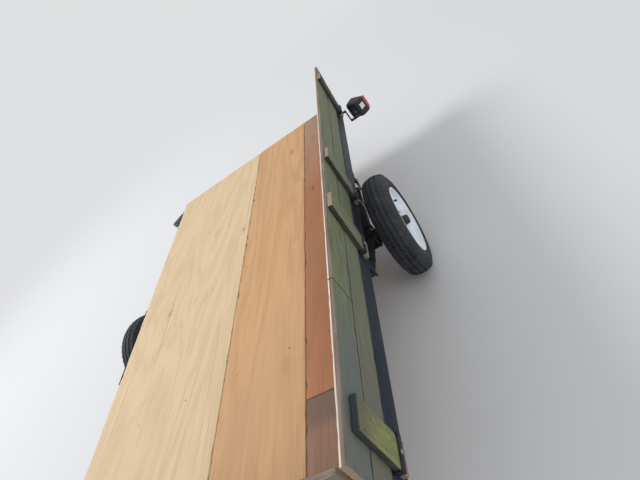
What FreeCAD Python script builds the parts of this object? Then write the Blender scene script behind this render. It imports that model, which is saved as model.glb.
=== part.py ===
"""A single-axle utility trailer: a steel channel frame with a plywood deck, one plank side, a plank
headboard and empty stake pockets on the other side. It parks on its two wheels and its tongue jack.

Millimetres. +X is forward, towards the coupler, +Y is the trailer's left and +Z is up. The origin is
on the ground under the middle of the overall box. Pieces are laid out from the middle of the bed,
and each one is moved to the origin as it is written."""
import FreeCAD
import Part
import math
import os
from FreeCAD import Vector

# axle, springs and wheels, which carry the frame
wheel_radius = 250.0
tyre_width = 122.0
tyre_wall = 9.0
tyre_crown = 12.0
tyre_tread_share = 0.74
tyre_room = 18.0
axle_place = -45.0
axle_size = 50.0
axle_wall = 5.0
axle_plug = 40.0
axle_past_spring = 20.0
spindle_radius = 13.0
spindle_play = 0.08
spring_room = 127.0
spring_inset = 36.0
spring_width = 44.0
leaf_thickness = 7.0
leaf_rise = 28.0
leaf_half_spans = (315.0, 235.0, 150.0)
eye_radius = 15.0
eye_sink = 2.25
eye_bolt_radius = 7.0
eye_bolt_play = 0.2
hanger_wall = 5.0
hanger_half_top = 30.0
hanger_half_foot = 16.0
hanger_foot_drop = 14.0
shackle_run = 34.0
shackle_rise = 31.0
link_radius = 12.0
side_play = 1.0
bolt_head_reach = 8.0
clamp_rod = 5.0
clamp_gap = 7.0
clamp_lift = 0.5
clamp_plate = 8.0
clamp_plate_half = 45.0
clamp_tail = 18.0

# rim, hub and nuts
rim_radius = 152.4
rim_lip = 12.0
rim_width = 108.0
rim_wall = 3.0
rim_drop = 18.0
rim_seat_width = 22.0
disc_offset = 12.0
disc_crown = 20.0
disc_flat_radius = 74.0
disc_crown_radii = (92.0, 108.0)
hub_bore_radius = 33.0
hub_flange_radius = 72.0
hub_flange = 9.0
hub_room = 42.0
cap_radius = 22.0
cap_length = 46.0
lug_circle_radius = 57.15
lug_count = 5
lug_hole_radius = 8.0
stud_radius = 6.0
stud_length = 22.0
nut_radius = 11.0
nut_height = 12.0
slot_count = 8
slot_radius = 9.0
slot_circle_radius = 119.0

# bed and deck
bed_length = 2440.0
bed_width = 1320.0
deck_thickness = 18.0
deck_gap = 2.0
deck_joints_from_left = (610.0, 240.0)
deck_patch_length = 344.0
broken_corner = ((34.0, 0.0), (26.0, 9.0), (9.0, 14.0), (0.0, 27.0))
rail_height = 76.0
rail_flange = 40.0
rail_wall = 4.0

# plank side and headboard
plank_widths = (109.0, 116.0)
plank_thickness = 19.0
plank_gap = 2.0
side_lean = 17.0
headboard_gap = 3.0
upper_overhang = 90.0
lower_overhang = 72.0
upper_butt_from_front = 537.0
stake_width = 89.0
stake_thickness = 20.0
stake_drop = 42.0
stake_clearance = 0.1
side_stakes_below_top = (0.0, 6.0, 0.0, 30.0)
rear_stake_inset = 72.0
middle_stake_places = (-155.0, 226.0)
front_stake_reach = 172.0
headboard_stake_inset = 230.0
headboard_stakes_below_top = 22.0

# stake pockets: straps folded round a stake
pocket_wall = 3.0
pocket_height = 18.0
pocket_rise = 6.0
pocket_play = 2.0
pocket_depth = 26.0

# tongue, braces and coupler
tongue_size = 75.0
tongue_wall = 4.0
tongue_overlap = 650.0
tongue_reach = 790.0
brace_leg = 40.0
brace_wall = 4.0
brace_inset = 70.0
brace_lap = 20.0
brace_reach = 380.0
ball_radius = 25.4
socket_play = 0.6
socket_wall = 5.0
coupler_sleeve = 150.0
coupler_sheet = 4.0
coupler_nose = 120.0
coupler_depth = 52.0
lever_width = 32.0
lever_back = 60.0
lever_pivot_place = 78.0
lever_pivot_radius = 8.0
lever_profile = ((0.0, 0.0), (95.0, 0.0), (95.0, 12.0), (40.0, 12.0), (4.0, 40.0), (-46.0, 44.0),
                 (-46.0, 38.0), (0.0, 34.0))
chain_hole_radius = 7.0
chain_hole_back = 190.0

# tongue jack
jack_back = 280.0
jack_radius = 28.0
jack_wall = 3.0
jack_bottom = 205.0
jack_height = 400.0
jack_play = 0.08
jack_cap = 14.0
jack_neck_radius = 9.0
jack_neck = 20.0
jack_collar = 6.0
jack_collar_height = 16.0
jack_plate = 8.0
jack_plate_half = 50.0
jack_plate_lap = 12.0
crank_arm = 130.0
crank_rod = 6.0
grip_radius = 12.0
grip_length = 70.0
leg_wall = 4.0
leg_inside = 215.0
foot_radius = 75.0
foot_thickness = 6.0
foot_collar = 14.0

# tail lamps, turned outwards on their brackets
lamp_width = 108.0
lamp_height = 106.0
lamp_depth = 78.0
lamp_round = 7.0
lamp_turn = 47.0
lens_depth = 28.0
lens_inset = 3.0
lens_round = 6.0
lamp_from_side = 115.0
lamp_from_rear = 45.0
lamp_drop = 57.0
window_size = (34.0, 2.0, 36.0)
window_corner = (18.0, 44.0)
lamp_strip = 5.0
lamp_strip_width = 34.0
lamp_arm_rise = 13.0
lamp_arm_reach = 28.0
lamp_shelf_past_middle = 20.0

# places worked out from the sizes above
half_length = bed_length / 2
half_width = bed_width / 2
axle_top = wheel_radius + axle_size / 2
rail_bottom = axle_top + spring_room
rail_top = rail_bottom + rail_height
deck_top = rail_top + deck_thickness
mid_cross_places = (-bed_length / 4, 0.0, bed_length / 4)
side_height = sum(plank_widths) + plank_gap
lean = math.atan2(side_lean, side_height)
wall_foot = half_width + (deck_thickness + stake_drop) * math.sin(lean) + stake_clearance
wall_base = deck_top - (wall_foot - half_width) * math.tan(lean)
wall_inner = wall_foot - plank_thickness
deck_front = half_length - plank_thickness
stake_rear_faces = (-half_length + rear_stake_inset, *middle_stake_places, half_length - front_stake_reach)
headboard_stake_places = (-half_width + headboard_stake_inset, half_width - headboard_stake_inset)
pocket_levels = (rail_top + pocket_rise - pocket_height, rail_top + pocket_rise)
tongue_rear = half_length - tongue_overlap
tongue_front = half_length + tongue_reach
tongue_top = rail_bottom
tongue_mid = tongue_top - tongue_size / 2
socket_radius = ball_radius + socket_play
ball_place = tongue_front + coupler_nose
ball_level = tongue_top - coupler_depth / 2
overall_front = ball_place + socket_radius + socket_wall
overall_rear = -half_length - upper_overhang
origin_shift = (overall_front + overall_rear) / 2
tyre_inner_face = half_width + pocket_depth + pocket_wall + tyre_room
wheel_middle = tyre_inner_face + tyre_width / 2
spring_middle = half_width - spring_inset
spring_outer = spring_middle + spring_width / 2
spring_inner = spring_middle - spring_width / 2
hub_inner_face = spring_outer + hub_room
eye_reach = leaf_half_spans[0] + eye_radius / 2
eye_level = axle_top + (len(leaf_half_spans) - 1) * leaf_thickness + leaf_rise + eye_radius - eye_sink
jack_place = tongue_front - jack_back
jack_middle = tongue_size / 2 + jack_plate + jack_radius
lamp_base = rail_bottom - lamp_drop
lamp_middle = (lamp_from_rear - half_length, half_width + lamp_from_side)

os.makedirs("parts", exist_ok=True)


def write(name, *shapes):
    """Moves the shapes from the bed's middle to the origin and writes them as one node."""
    solids = [s.translated(Vector(-origin_shift, 0, 0)) for s in shapes]
    shape = solids[0] if len(solids) == 1 else Part.Compound(solids)
    shape.exportStep("parts/" + name + ".step")


def box(x, y, z):
    """A block between the low and high ends given for each axis."""
    return Part.makeBox(x[1] - x[0], y[1] - y[0], z[1] - z[0], Vector(x[0], y[0], z[0]))


def rod(radius, start, end):
    """A round bar between two points."""
    way = Vector(*end) - Vector(*start)
    return Part.makeCylinder(radius, way.Length, Vector(*start), way)


def tube(outer, inner, start, end):
    """A round tube between two points."""
    return rod(outer, start, end).cut(rod(inner, start, end))


def outline(points, push):
    """A solid from a closed polygon pushed along a vector."""
    corners = [Vector(*p) for p in points]
    return Part.Face(Part.makePolygon(corners + corners[:1])).extrude(Vector(*push))


def joined(first, *others):
    """One solid from pieces that touch."""
    for other in others:
        first = first.fuse(other)
    return first.removeSplitter()


def mirrored(shape):
    """The same piece on the other side of the trailer."""
    return shape.mirror(Vector(0, 0, 0), Vector(0, 1, 0))


# frame

def side_channel():
    """A rail: a channel along X with its web outside and its flanges turned in."""
    length = (-half_length, half_length)
    outer = box(length, (half_width - rail_flange, half_width), (rail_bottom, rail_top))
    inner = box(length, (half_width - rail_flange, half_width - rail_wall),
                (rail_bottom + rail_wall, rail_top - rail_wall))
    return outer.cut(inner)


def cross_channel(web, turn):
    """A cross member between the rails: its web at x = web and its flanges towards turn."""
    reach = half_width - rail_flange
    across = (-reach, reach)
    outer = box(sorted((web, web + turn * rail_flange)), across, (rail_bottom, rail_top))
    inner = box(sorted((web + turn * rail_wall, web + turn * rail_flange)), across,
                (rail_bottom + rail_wall, rail_top - rail_wall))
    return outer.cut(inner)


def side_pocket(rear_face):
    """A strap folded round a stake on the left rail's web, deep enough for the stake to lean."""
    low, high = rear_face - pocket_play, rear_face + stake_width + pocket_play
    face, depth = half_width, half_width + pocket_depth
    outer = box((low - pocket_wall, high + pocket_wall), (face, depth + pocket_wall), pocket_levels)
    return outer.cut(box((low, high), (face, depth), pocket_levels))


def front_pocket(middle):
    """The same strap on the front of the front cross member."""
    low, high = middle - stake_width / 2 - pocket_play, middle + stake_width / 2 + pocket_play
    face, depth = half_length, half_length + pocket_depth
    outer = box((face, depth + pocket_wall), (low - pocket_wall, high + pocket_wall), pocket_levels)
    return outer.cut(box((face, depth), (low, high), pocket_levels))


def write_frame():
    rail = side_channel()
    write("rail_left", rail)
    write("rail_right", mirrored(rail))
    write("cross_member_front", cross_channel(half_length, -1))
    write("cross_member_rear", cross_channel(-half_length, 1))
    write("cross_members_middle", *[cross_channel(place, 1) for place in mid_cross_places])
    pockets = [side_pocket(face) for face in stake_rear_faces]
    write("stake_pockets_left", *pockets)
    write("stake_pockets_right", *[mirrored(pocket) for pocket in pockets])
    write("stake_pockets_front", *[front_pocket(place) for place in headboard_stake_places])


# deck, side and headboard

def write_deck():
    """Three sheets side by side, up to the headboard. The right one has lost its rear corner."""
    levels = (rail_top, deck_top)
    middle_edge, left_edge = [half_width - place for place in deck_joints_from_left]
    corner = [(-half_length + x, -half_width + y, rail_top) for x, y in broken_corner]
    joint = middle_edge - deck_gap
    sheet = [(deck_front, -half_width, rail_top), *corner]
    sheet += [(-half_length, joint, rail_top), (deck_front, joint, rail_top)]
    write("deck_sheet_right", outline(sheet, (0, 0, deck_thickness)))
    write("deck_sheet_middle", box((-half_length, deck_front), (middle_edge, left_edge - deck_gap), levels))
    patch = deck_front - deck_patch_length
    write("deck_sheet_left", box((-half_length, patch - deck_gap), (left_edge, half_width), levels))
    write("deck_patch_left", box((patch, deck_front), (left_edge, half_width), levels))


def courses(base):
    """The low and high ends of the lower and the upper plank above a level."""
    upper = base + plank_widths[0] + plank_gap
    return (base, base + plank_widths[0]), (upper, upper + plank_widths[1])


def leaning(shape):
    """A piece of the upright side, tipped outwards about the side's foot."""
    return shape.rotated(Vector(0, wall_foot, deck_top), Vector(1, 0, 0), -math.degrees(lean))


def write_planks():
    lower, upper = courses(wall_base)
    across = (wall_inner, wall_foot)
    butt = half_length - upper_butt_from_front
    for name, ends, level in (
            ("lower", (-half_length - lower_overhang, half_length), lower),
            ("upper_rear", (-half_length - upper_overhang, butt - plank_gap), upper),
            ("upper_front", (butt, half_length), upper)):
        write("side_plank_" + name, leaning(box(ends, across, level)))
    for name, level in zip(("lower", "upper"), courses(rail_top)):
        board = box((deck_front, half_length), (-half_width, wall_inner - headboard_gap), level)
        write("headboard_plank_" + name, board)


def write_stakes():
    across = (wall_foot, wall_foot + stake_thickness)
    stakes = []
    for face, below_top in zip(stake_rear_faces, side_stakes_below_top):
        levels = (rail_top - stake_drop, wall_base + side_height - below_top)
        stakes.append(leaning(box((face, face + stake_width), across, levels)))
    write("side_stakes", *stakes)
    along = (half_length, half_length + stake_thickness)
    levels = (rail_top - stake_drop, rail_top + side_height - headboard_stakes_below_top)
    half = stake_width / 2
    stakes = [box(along, (place - half, place + half), levels) for place in headboard_stake_places]
    write("headboard_stakes", *stakes)


# tongue, coupler and jack

def brace():
    """An angle from the left rail's front corner to the tongue, under the front cross member."""
    start = Vector(half_length - brace_lap, half_width - brace_inset, tongue_top)
    way = Vector(half_length + brace_reach, 0, tongue_top) - start
    length = (-brace_leg, way.Length)
    flat = box(length, (-brace_leg, 0), (-brace_wall, 0))
    upright = box(length, (-brace_wall, 0), (-brace_leg, 0))
    angle = joined(flat, upright)
    angle.rotate(Vector(0, 0, 0), Vector(0, 0, 1), math.degrees(math.atan2(way.y, way.x)))
    angle.translate(start)
    tongue_room = box((0, overall_front), (-half_width, tongue_size / 2), (0, rail_top))
    return angle.cut(tongue_room)


def coupler():
    """A sleeve over the tongue with a nose that narrows, and the domed cup that the nose ends in."""
    half = tongue_size / 2
    start = tongue_front - coupler_sleeve
    sides = (tongue_top - coupler_depth, tongue_top + coupler_sheet)
    sleeve = box((start, tongue_front), (-half, half), (tongue_top, sides[1]))
    cheek = box((start, tongue_front), (half, half + coupler_sheet), sides)
    wide, narrow = half + coupler_sheet, socket_radius + socket_wall

    def plan(inset, rear, level):
        return [(rear, inset - wide, level), (ball_place, inset - narrow, level),
                (ball_place, narrow - inset, level), (rear, wide - inset, level)]

    nose = outline(plan(0, tongue_front, sides[0]), (0, 0, sides[1] - sides[0]))
    nose = nose.cut(outline(plan(coupler_sheet, tongue_front, sides[0]), (0, 0, coupler_depth)))
    sheets = joined(sleeve, cheek, mirrored(cheek), nose)

    def domed(radius):
        centre = Vector(ball_place, 0, ball_level)
        return joined(Part.makeSphere(radius, centre), rod(radius, (ball_place, 0, 0), tuple(centre)))

    below = box((tongue_front, overall_front), (-half, half), (0, sides[0]))
    cup = domed(narrow).cut(below)
    return sheets.cut(cup), cup.cut(domed(socket_radius))


def coupler_lever():
    """The latch lever: a bent strap on the coupler's nose with its pivot boss."""
    half = lever_width / 2
    base = tongue_top + coupler_sheet
    start = tongue_front - lever_back
    strap = outline([(start + x, -half, base + z) for x, z in lever_profile], (0, lever_width, 0))
    pivot = (start + lever_pivot_place, base + lever_pivot_radius)
    reach = half + lever_pivot_radius
    return strap.fuse(rod(lever_pivot_radius, (pivot[0], -reach, pivot[1]), (pivot[0], reach, pivot[1])))


def write_tongue():
    half = tongue_size / 2
    inner = half - tongue_wall
    ends = (tongue_rear, tongue_front)
    floor = tongue_top - tongue_size
    body = box(ends, (-half, half), (floor, tongue_top))
    body = body.cut(box(ends, (-inner, inner), (floor + tongue_wall, tongue_top - tongue_wall)))
    place = tongue_front - chain_hole_back
    write("tongue", body.cut(rod(chain_hole_radius, (place, -half, tongue_mid), (place, half, tongue_mid))))
    arm = brace()
    write("tongue_braces", arm, mirrored(arm))
    write("coupler", *coupler())
    write("coupler_lever", coupler_lever())


def write_jack():
    """The jack stands on the tongue's left side. Its leg slides in its tube and is raised to tow."""
    top = jack_bottom + jack_height
    neck_base, neck_top = top + jack_cap, top + jack_cap + jack_neck

    def at(level, back=0.0):
        return (jack_place - back, jack_middle, level)

    shell = tube(jack_radius, jack_radius - jack_wall, at(jack_bottom), at(top))
    cap = rod(jack_radius + jack_wall, at(top), at(neck_base))
    write("jack_tube", joined(shell, cap, rod(jack_neck_radius, at(neck_base), at(neck_top))))

    half = tongue_size / 2
    floor = tongue_top - tongue_size
    plate = box((jack_place - jack_plate_half, jack_place + jack_plate_half), (half, half + jack_plate),
                (floor - jack_plate_lap, tongue_top + jack_plate_lap))
    collars = [rod(jack_radius + jack_collar, at(z), at(z + jack_collar_height))
               for z in (floor - jack_plate_lap, tongue_top + jack_plate_lap - jack_collar_height)]
    write("jack_bracket", joined(plate, *collars).cut(rod(jack_radius, at(0), at(top))))

    arm_level = neck_top + crank_rod
    arm = rod(crank_rod, at(arm_level), at(arm_level, crank_arm))
    boss = rod(jack_neck_radius, at(neck_top), at(neck_top + 2 * crank_rod))
    grip = rod(grip_radius, at(neck_top, crank_arm), at(neck_top + grip_length, crank_arm))
    write("jack_crank", joined(arm, boss, grip))

    leg_radius = jack_radius - jack_wall - jack_play
    leg = rod(leg_radius, at(foot_thickness), at(jack_bottom + leg_inside))
    foot = rod(foot_radius, at(0), at(foot_thickness))
    collar = Part.makeCone(leg_radius + foot_collar, leg_radius, foot_collar, Vector(*at(foot_thickness)))
    hollow = rod(leg_radius - leg_wall, at(foot_thickness), at(jack_bottom + leg_inside))
    write("jack_leg", joined(leg, foot, collar).cut(hollow))


# springs and axle

def leaf(order):
    """One leaf of a spring: a flat bar bent up to its ends, shorter leaves below the first."""
    span, first = leaf_half_spans[order], leaf_half_spans[0]
    bend = (first ** 2 + leaf_rise ** 2) / (2 * leaf_rise)
    centre = axle_top + (len(leaf_half_spans) - 1 - order) * leaf_thickness + bend
    reach = math.asin(span / bend)

    def at(radius, turn):
        return Vector(axle_place + radius * math.sin(turn), spring_inner, centre - radius * math.cos(turn))

    outside = [at(bend, turn) for turn in (-reach, 0.0, reach)]
    inside = [at(bend - leaf_thickness, turn) for turn in (reach, 0.0, -reach)]
    edges = [Part.Arc(*outside).toShape(), Part.makeLine(outside[2], inside[0]),
             Part.Arc(*inside).toShape(), Part.makeLine(inside[2], outside[0])]
    return Part.Face(Part.Wire(edges)).extrude(Vector(0, spring_width, 0))


def spring():
    """The leaf pack with its two rolled eyes, which the hanger and shackle bolts go through."""
    pack = joined(leaf(0), leaf(1), leaf(2))
    for way in (-1, 1):
        x = axle_place + way * eye_reach
        ends = ((x, spring_inner, eye_level), (x, spring_outer, eye_level))
        pack = pack.fuse(rod(eye_radius, *ends)).cut(rod(eye_bolt_radius + eye_bolt_play, *ends))
    return pack


def hanger(x, level):
    """A bracket under the rail: a top plate, two cheeks and the bolt across them."""
    cheeks = (spring_inner - side_play - hanger_wall, spring_outer + side_play)
    top = box((x - hanger_half_top, x + hanger_half_top), (cheeks[0], cheeks[1] + hanger_wall),
              (rail_bottom - hanger_wall, rail_bottom))
    foot = level - hanger_foot_drop
    plan = [(x - hanger_half_top, rail_bottom), (x + hanger_half_top, rail_bottom),
            (x + hanger_half_foot, foot), (x - hanger_half_foot, foot)]
    plates = [outline([(px, y, pz) for px, pz in plan], (0, hanger_wall, 0)) for y in cheeks]
    bolt = rod(eye_bolt_radius, (x, cheeks[0] - bolt_head_reach, level),
               (x, cheeks[1] + hanger_wall + bolt_head_reach, level))
    return joined(top, *plates, bolt)


def shackle_link(y):
    """A flat link with round ends, from the spring's rear eye up to the rear hanger's bolt."""
    low = Vector(axle_place - eye_reach, y, eye_level)
    high = low + Vector(-shackle_run, 0, shackle_rise)
    side = Vector(-shackle_rise, 0, -shackle_run).normalize() * link_radius
    corners = (low + side, high + side, high - side, low - side)
    plate = outline([tuple(corner) for corner in corners], (0, hanger_wall, 0))
    across = Vector(0, hanger_wall, 0)
    plate = joined(plate, *[rod(link_radius, tuple(end), tuple(end + across)) for end in (low, high)])
    return plate.cut(rod(eye_bolt_radius, tuple(high), tuple(high + across)))


def clamp():
    """Two U bolts over a spring and the plate under the axle that they pull up."""
    legs = (spring_inner - clamp_gap, spring_outer + clamp_gap)
    top = axle_top + len(leaf_half_spans) * leaf_thickness + clamp_lift + clamp_rod
    under = axle_top - axle_size
    plate = box((axle_place - clamp_plate_half, axle_place + clamp_plate_half),
                (legs[0] - 2 * clamp_rod, legs[1] + 2 * clamp_rod), (under - clamp_plate, under))
    pieces = []
    for x in (axle_place - axle_size / 2 - clamp_gap, axle_place + axle_size / 2 + clamp_gap):
        pieces += [rod(clamp_rod, (x, y, under - clamp_tail), (x, y, top)) for y in legs]
        pieces += [Part.makeSphere(clamp_rod, Vector(x, y, top)) for y in legs]
        pieces.append(rod(clamp_rod, (x, legs[0], top), (x, legs[1], top)))
    return joined(plate, *pieces)


def axle():
    """A square tube under the springs with a spindle at each end."""
    reach = spring_outer + axle_past_spring
    half = axle_size / 2
    inner = half - axle_wall
    levels = (wheel_radius - half, wheel_radius + half)
    beam = box((axle_place - half, axle_place + half), (-reach, reach), levels)
    beam = beam.cut(box((axle_place - inner, axle_place + inner), (axle_plug - reach, reach - axle_plug),
                        (wheel_radius - inner, wheel_radius + inner)))
    tip = wheel_middle + disc_offset + stud_length
    spindle = rod(spindle_radius, (axle_place, reach, wheel_radius), (axle_place, tip, wheel_radius))
    return joined(beam, spindle, mirrored(spindle))


# wheels

def turned(points):
    """A solid turned about the left wheel's axis from a closed profile of (across, radius) points."""
    corners = [Vector(axle_place, wheel_middle + y, wheel_radius + r) for y, r in points]
    face = Part.Face(Part.makePolygon(corners + corners[:1]))
    return face.revolve(Vector(axle_place, 0, wheel_radius), Vector(0, 1, 0), 360)


def around(count, radius, first=0.0):
    """Places (x, z) spaced evenly on a circle about the wheel's axis."""
    turns = [first + 2 * math.pi * n / count for n in range(count)]
    return [(axle_place + radius * math.sin(t), wheel_radius + radius * math.cos(t)) for t in turns]


def tyre():
    """A hollow carcass with a crowned tread and round walls, open at its beads."""
    half = tyre_width / 2
    bead, bead_half = rim_radius + 0.4, rim_width / 2 - rim_wall - 0.6
    bead_top = rim_radius + rim_lip + 2.0
    tread, shoulder = tyre_tread_share * half, wheel_radius - tyre_crown
    widest = (bead + wheel_radius) / 2 - 4.0
    bead_foot, lining = bead_half - 12.0, tread - 6.0

    def at(y, r):
        return Vector(axle_place, wheel_middle + y, wheel_radius + r)

    def lining_wall(way):
        """The arc inside a side wall, from the bead up to the lining, on the way's side."""
        side = half - tyre_wall
        return at(way * bead_foot, bead), at(way * side, widest), at(way * lining, shoulder - tyre_wall)

    left, right = lining_wall(1), lining_wall(-1)
    edges = [
        Part.Arc(at(-tread, shoulder), at(0, wheel_radius), at(tread, shoulder)).toShape(),
        Part.Arc(at(tread, shoulder), at(half, widest), at(bead_half, bead_top)).toShape(),
        Part.makeLine(at(bead_half, bead_top), at(bead_half, bead)),
        Part.makeLine(at(bead_half, bead), left[0]),
        Part.Arc(*left).toShape(),
        Part.makeLine(left[2], right[2]),
        Part.Arc(*reversed(right)).toShape(),
        Part.makeLine(right[0], at(-bead_half, bead)),
        Part.makeLine(at(-bead_half, bead), at(-bead_half, bead_top)),
        Part.Arc(at(-bead_half, bead_top), at(-half, widest), at(-tread, shoulder)).toShape(),
    ]
    return Part.Face(Part.Wire(edges)).revolve(Vector(axle_place, 0, wheel_radius), Vector(0, 1, 0), 360)


def rim():
    """A barrel with a drop centre and lips, and a pressed disc with hand holes, a bore and stud holes."""
    half, seat, drop = rim_width / 2, rim_radius, rim_radius - rim_drop
    lip = rim_radius + rim_lip
    seat_end = half - rim_seat_width - rim_wall
    well = seat_end - rim_seat_width / 2
    outside = [(-half, lip), (-half + rim_wall, lip), (-half + rim_wall, seat), (-seat_end, seat - 1.0),
               (-well, drop), (well, drop), (seat_end, seat - 1.0), (half - rim_wall, seat),
               (half - rim_wall, lip), (half, lip)]
    bore, floor = seat - rim_wall, drop - rim_wall
    inside = [(half, bore), (seat_end + 1.0, bore - 1.0), (well + 1.0, floor), (-well - 1.0, floor),
              (-seat_end - 1.0, bore - 1.0), (-half, bore)]
    crown = disc_offset + disc_crown
    sheet = rim_wall + 0.5
    front = [(disc_offset, hub_bore_radius), (disc_offset, disc_flat_radius), (crown, disc_crown_radii[0]),
             (crown, disc_crown_radii[1]), (disc_offset - 2.0, floor)]
    back = [(y - sheet, r) for y, r in reversed(front)]
    disc = turned(front + back)
    low, high = wheel_middle - disc_crown, wheel_middle + 2 * crown
    for places, radius in ((around(lug_count, lug_circle_radius), lug_hole_radius),
                           (around(slot_count, slot_circle_radius, math.pi / slot_count), slot_radius)):
        for x, z in places:
            disc = disc.cut(rod(radius, (x, low, z), (x, high, z)))
    return joined(turned(outside + inside), disc)


def hub():
    """The turning hub: a bearing housing, its flange with studs, and the grease cap."""
    face = disc_offset - rim_wall - 0.5
    bore = spindle_radius + spindle_play
    barrel = hub_bore_radius - 2.0
    inner_end = hub_inner_face - wheel_middle
    nose = face + stud_length
    tip = nose + cap_length - stud_length + 3.0
    spindle_end = disc_offset + stud_length + 2.0
    back = face - hub_flange
    profile = [(inner_end, bore), (inner_end, barrel - 4.0), (back, barrel - 2.0), (back, hub_flange_radius),
               (face, hub_flange_radius), (face, barrel), (nose, barrel), (nose + 4.0, cap_radius),
               (tip - 3.0, cap_radius - 2.0), (tip, cap_radius - 6.0), (tip, 0.0), (spindle_end, 0.0),
               (spindle_end, bore)]
    flange = wheel_middle + face
    studs = [rod(stud_radius, (x, flange - hub_flange / 2, z), (x, flange + stud_length, z))
             for x, z in around(lug_count, lug_circle_radius)]
    return joined(turned(profile), *studs)


def nuts():
    """Hexagon nuts on the disc, one round each stud."""
    seat = wheel_middle + disc_offset
    turns = [math.pi / 3 * n for n in range(6)]
    made = []
    for x, z in around(lug_count, lug_circle_radius):
        corners = [(x + nut_radius * math.cos(t), seat, z + nut_radius * math.sin(t)) for t in turns]
        nut = outline(corners, (0, nut_height, 0))
        made.append(nut.cut(rod(stud_radius, (x, seat, z), (x, seat + nut_height, z))))
    return made


def write_running_gear():
    write("axle", axle())
    hangers = [hanger(axle_place + eye_reach, eye_level),
               hanger(axle_place - eye_reach - shackle_run, eye_level + shackle_rise)]
    link_faces = (spring_inner - side_play - 2 * hanger_wall, spring_outer + side_play + hanger_wall)
    links = [shackle_link(y) for y in link_faces]
    for name, solids in (("leaf_springs", [spring()]), ("spring_hangers", hangers), ("shackles", links),
                         ("axle_clamps", [clamp()])):
        write(name, *solids, *[mirrored(s) for s in solids])
    for name, solids in (("tyre", [tyre()]), ("rim", [rim()]), ("hub", [hub()]), ("lug_nuts", nuts())):
        write(name + "_left", *solids)
        write(name + "_right", *[mirrored(s) for s in solids])


# tail lamps

def rounded(block, radius, face_x):
    """The block with the edges round its end face at face_x rounded."""
    def on_face(edge):
        reach = edge.BoundBox
        return max(abs(reach.XMin - face_x), abs(reach.XMax - face_x)) < 0.1

    return block.makeFillet(radius, [edge for edge in block.Edges if on_face(edge)])


def turned_out(shape):
    """A piece of the straight left lamp, turned outwards about the lamp's middle."""
    return shape.rotated(Vector(*lamp_middle, 0), Vector(0, 0, 1), -lamp_turn)


def write_lamps():
    """A box on a bracket beside each rear corner, with a red lens outboard and a clear window in front."""
    x, y = lamp_middle
    rear = x - (lamp_depth + lens_depth) / 2
    back, front = rear + lens_depth, rear + lens_depth + lamp_depth
    low, high = y - lamp_width / 2, y + lamp_width / 2
    levels = (lamp_base, lamp_base + lamp_height)
    housing = rounded(box((back, front), (low, high), levels), lamp_round, front)
    lens = box((rear, back), (low + lens_inset, high - lens_inset),
               (levels[0] + lens_inset, levels[1] - lens_inset))
    lens = rounded(lens, lens_round, rear)
    window_x, window_z = back + window_corner[0], levels[0] + window_corner[1]
    window = box((window_x, window_x + window_size[0]), (high, high + window_size[1]),
                 (window_z, window_z + window_size[2]))
    along = (x - lamp_strip_width / 2, x + lamp_strip_width / 2)
    leg_face, arm_level = half_width + lamp_arm_reach, rail_bottom + lamp_arm_rise
    arm = box(along, (half_width, leg_face + lamp_strip), (arm_level, arm_level + lamp_strip))
    leg = box(along, (leg_face, leg_face + lamp_strip), (lamp_base - lamp_strip, arm_level))
    shelf = box(along, (leg_face, y + lamp_shelf_past_middle), (lamp_base - lamp_strip, lamp_base))
    for name, solid in (("housings", housing), ("lenses", lens), ("windows", window)):
        solid = turned_out(solid)
        write("lamp_" + name, solid, mirrored(solid))
    bracket = joined(arm, leg, shelf)
    write("lamp_brackets", bracket, mirrored(bracket))


write_frame()
write_deck()
write_planks()
write_stakes()
write_tongue()
write_jack()
write_running_gear()
write_lamps()
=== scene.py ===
"""Looks for the utility trailer: worn boards, treaded tyres, pressed rims, fasteners and finishes.

Metres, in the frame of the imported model: +X forward, +Y the trailer's left, +Z up, the ground at 0."""
import math
import random

import bmesh
import bpy
from mathutils import Matrix, Vector, noise


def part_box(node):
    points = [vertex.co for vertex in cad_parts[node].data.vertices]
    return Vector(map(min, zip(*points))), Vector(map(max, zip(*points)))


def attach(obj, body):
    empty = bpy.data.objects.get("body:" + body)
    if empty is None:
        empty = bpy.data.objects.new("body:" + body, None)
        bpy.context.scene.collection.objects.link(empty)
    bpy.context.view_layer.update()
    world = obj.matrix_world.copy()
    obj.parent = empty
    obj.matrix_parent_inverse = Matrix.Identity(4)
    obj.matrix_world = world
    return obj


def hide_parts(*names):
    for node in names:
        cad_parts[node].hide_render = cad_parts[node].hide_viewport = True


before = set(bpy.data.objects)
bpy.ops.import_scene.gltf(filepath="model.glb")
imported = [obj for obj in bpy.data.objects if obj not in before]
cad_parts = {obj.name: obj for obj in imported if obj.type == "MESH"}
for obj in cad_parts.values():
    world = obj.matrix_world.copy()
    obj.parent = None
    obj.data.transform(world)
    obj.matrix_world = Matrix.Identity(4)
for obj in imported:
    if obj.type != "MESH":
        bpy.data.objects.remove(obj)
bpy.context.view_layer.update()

TRAILER = "trailer"
SIDES = (("left", 1), ("right", -1))
WAYS = (-1, 1)

# camera, solved from the photograph
CAMERA_PLACE = (1.2221, 1.1289, 1.47)
CAMERA_YAW = -0.3928
CAMERA_PITCH = 0.5337
CAMERA_ROLL = -0.7329
CAMERA_FOCAL_PX = 454.45
IMAGE_WIDTH_PX = 640
SENSOR_WIDTH = 36.0
CLIP_START = 0.02
CLIP_END = 200.0

# the plank side leans outwards, and the tail lamps are turned outwards on their brackets
SIDE_LEAN = math.atan2(0.017, 0.227)
LAMP_TURN = math.radians(47.0)

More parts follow.
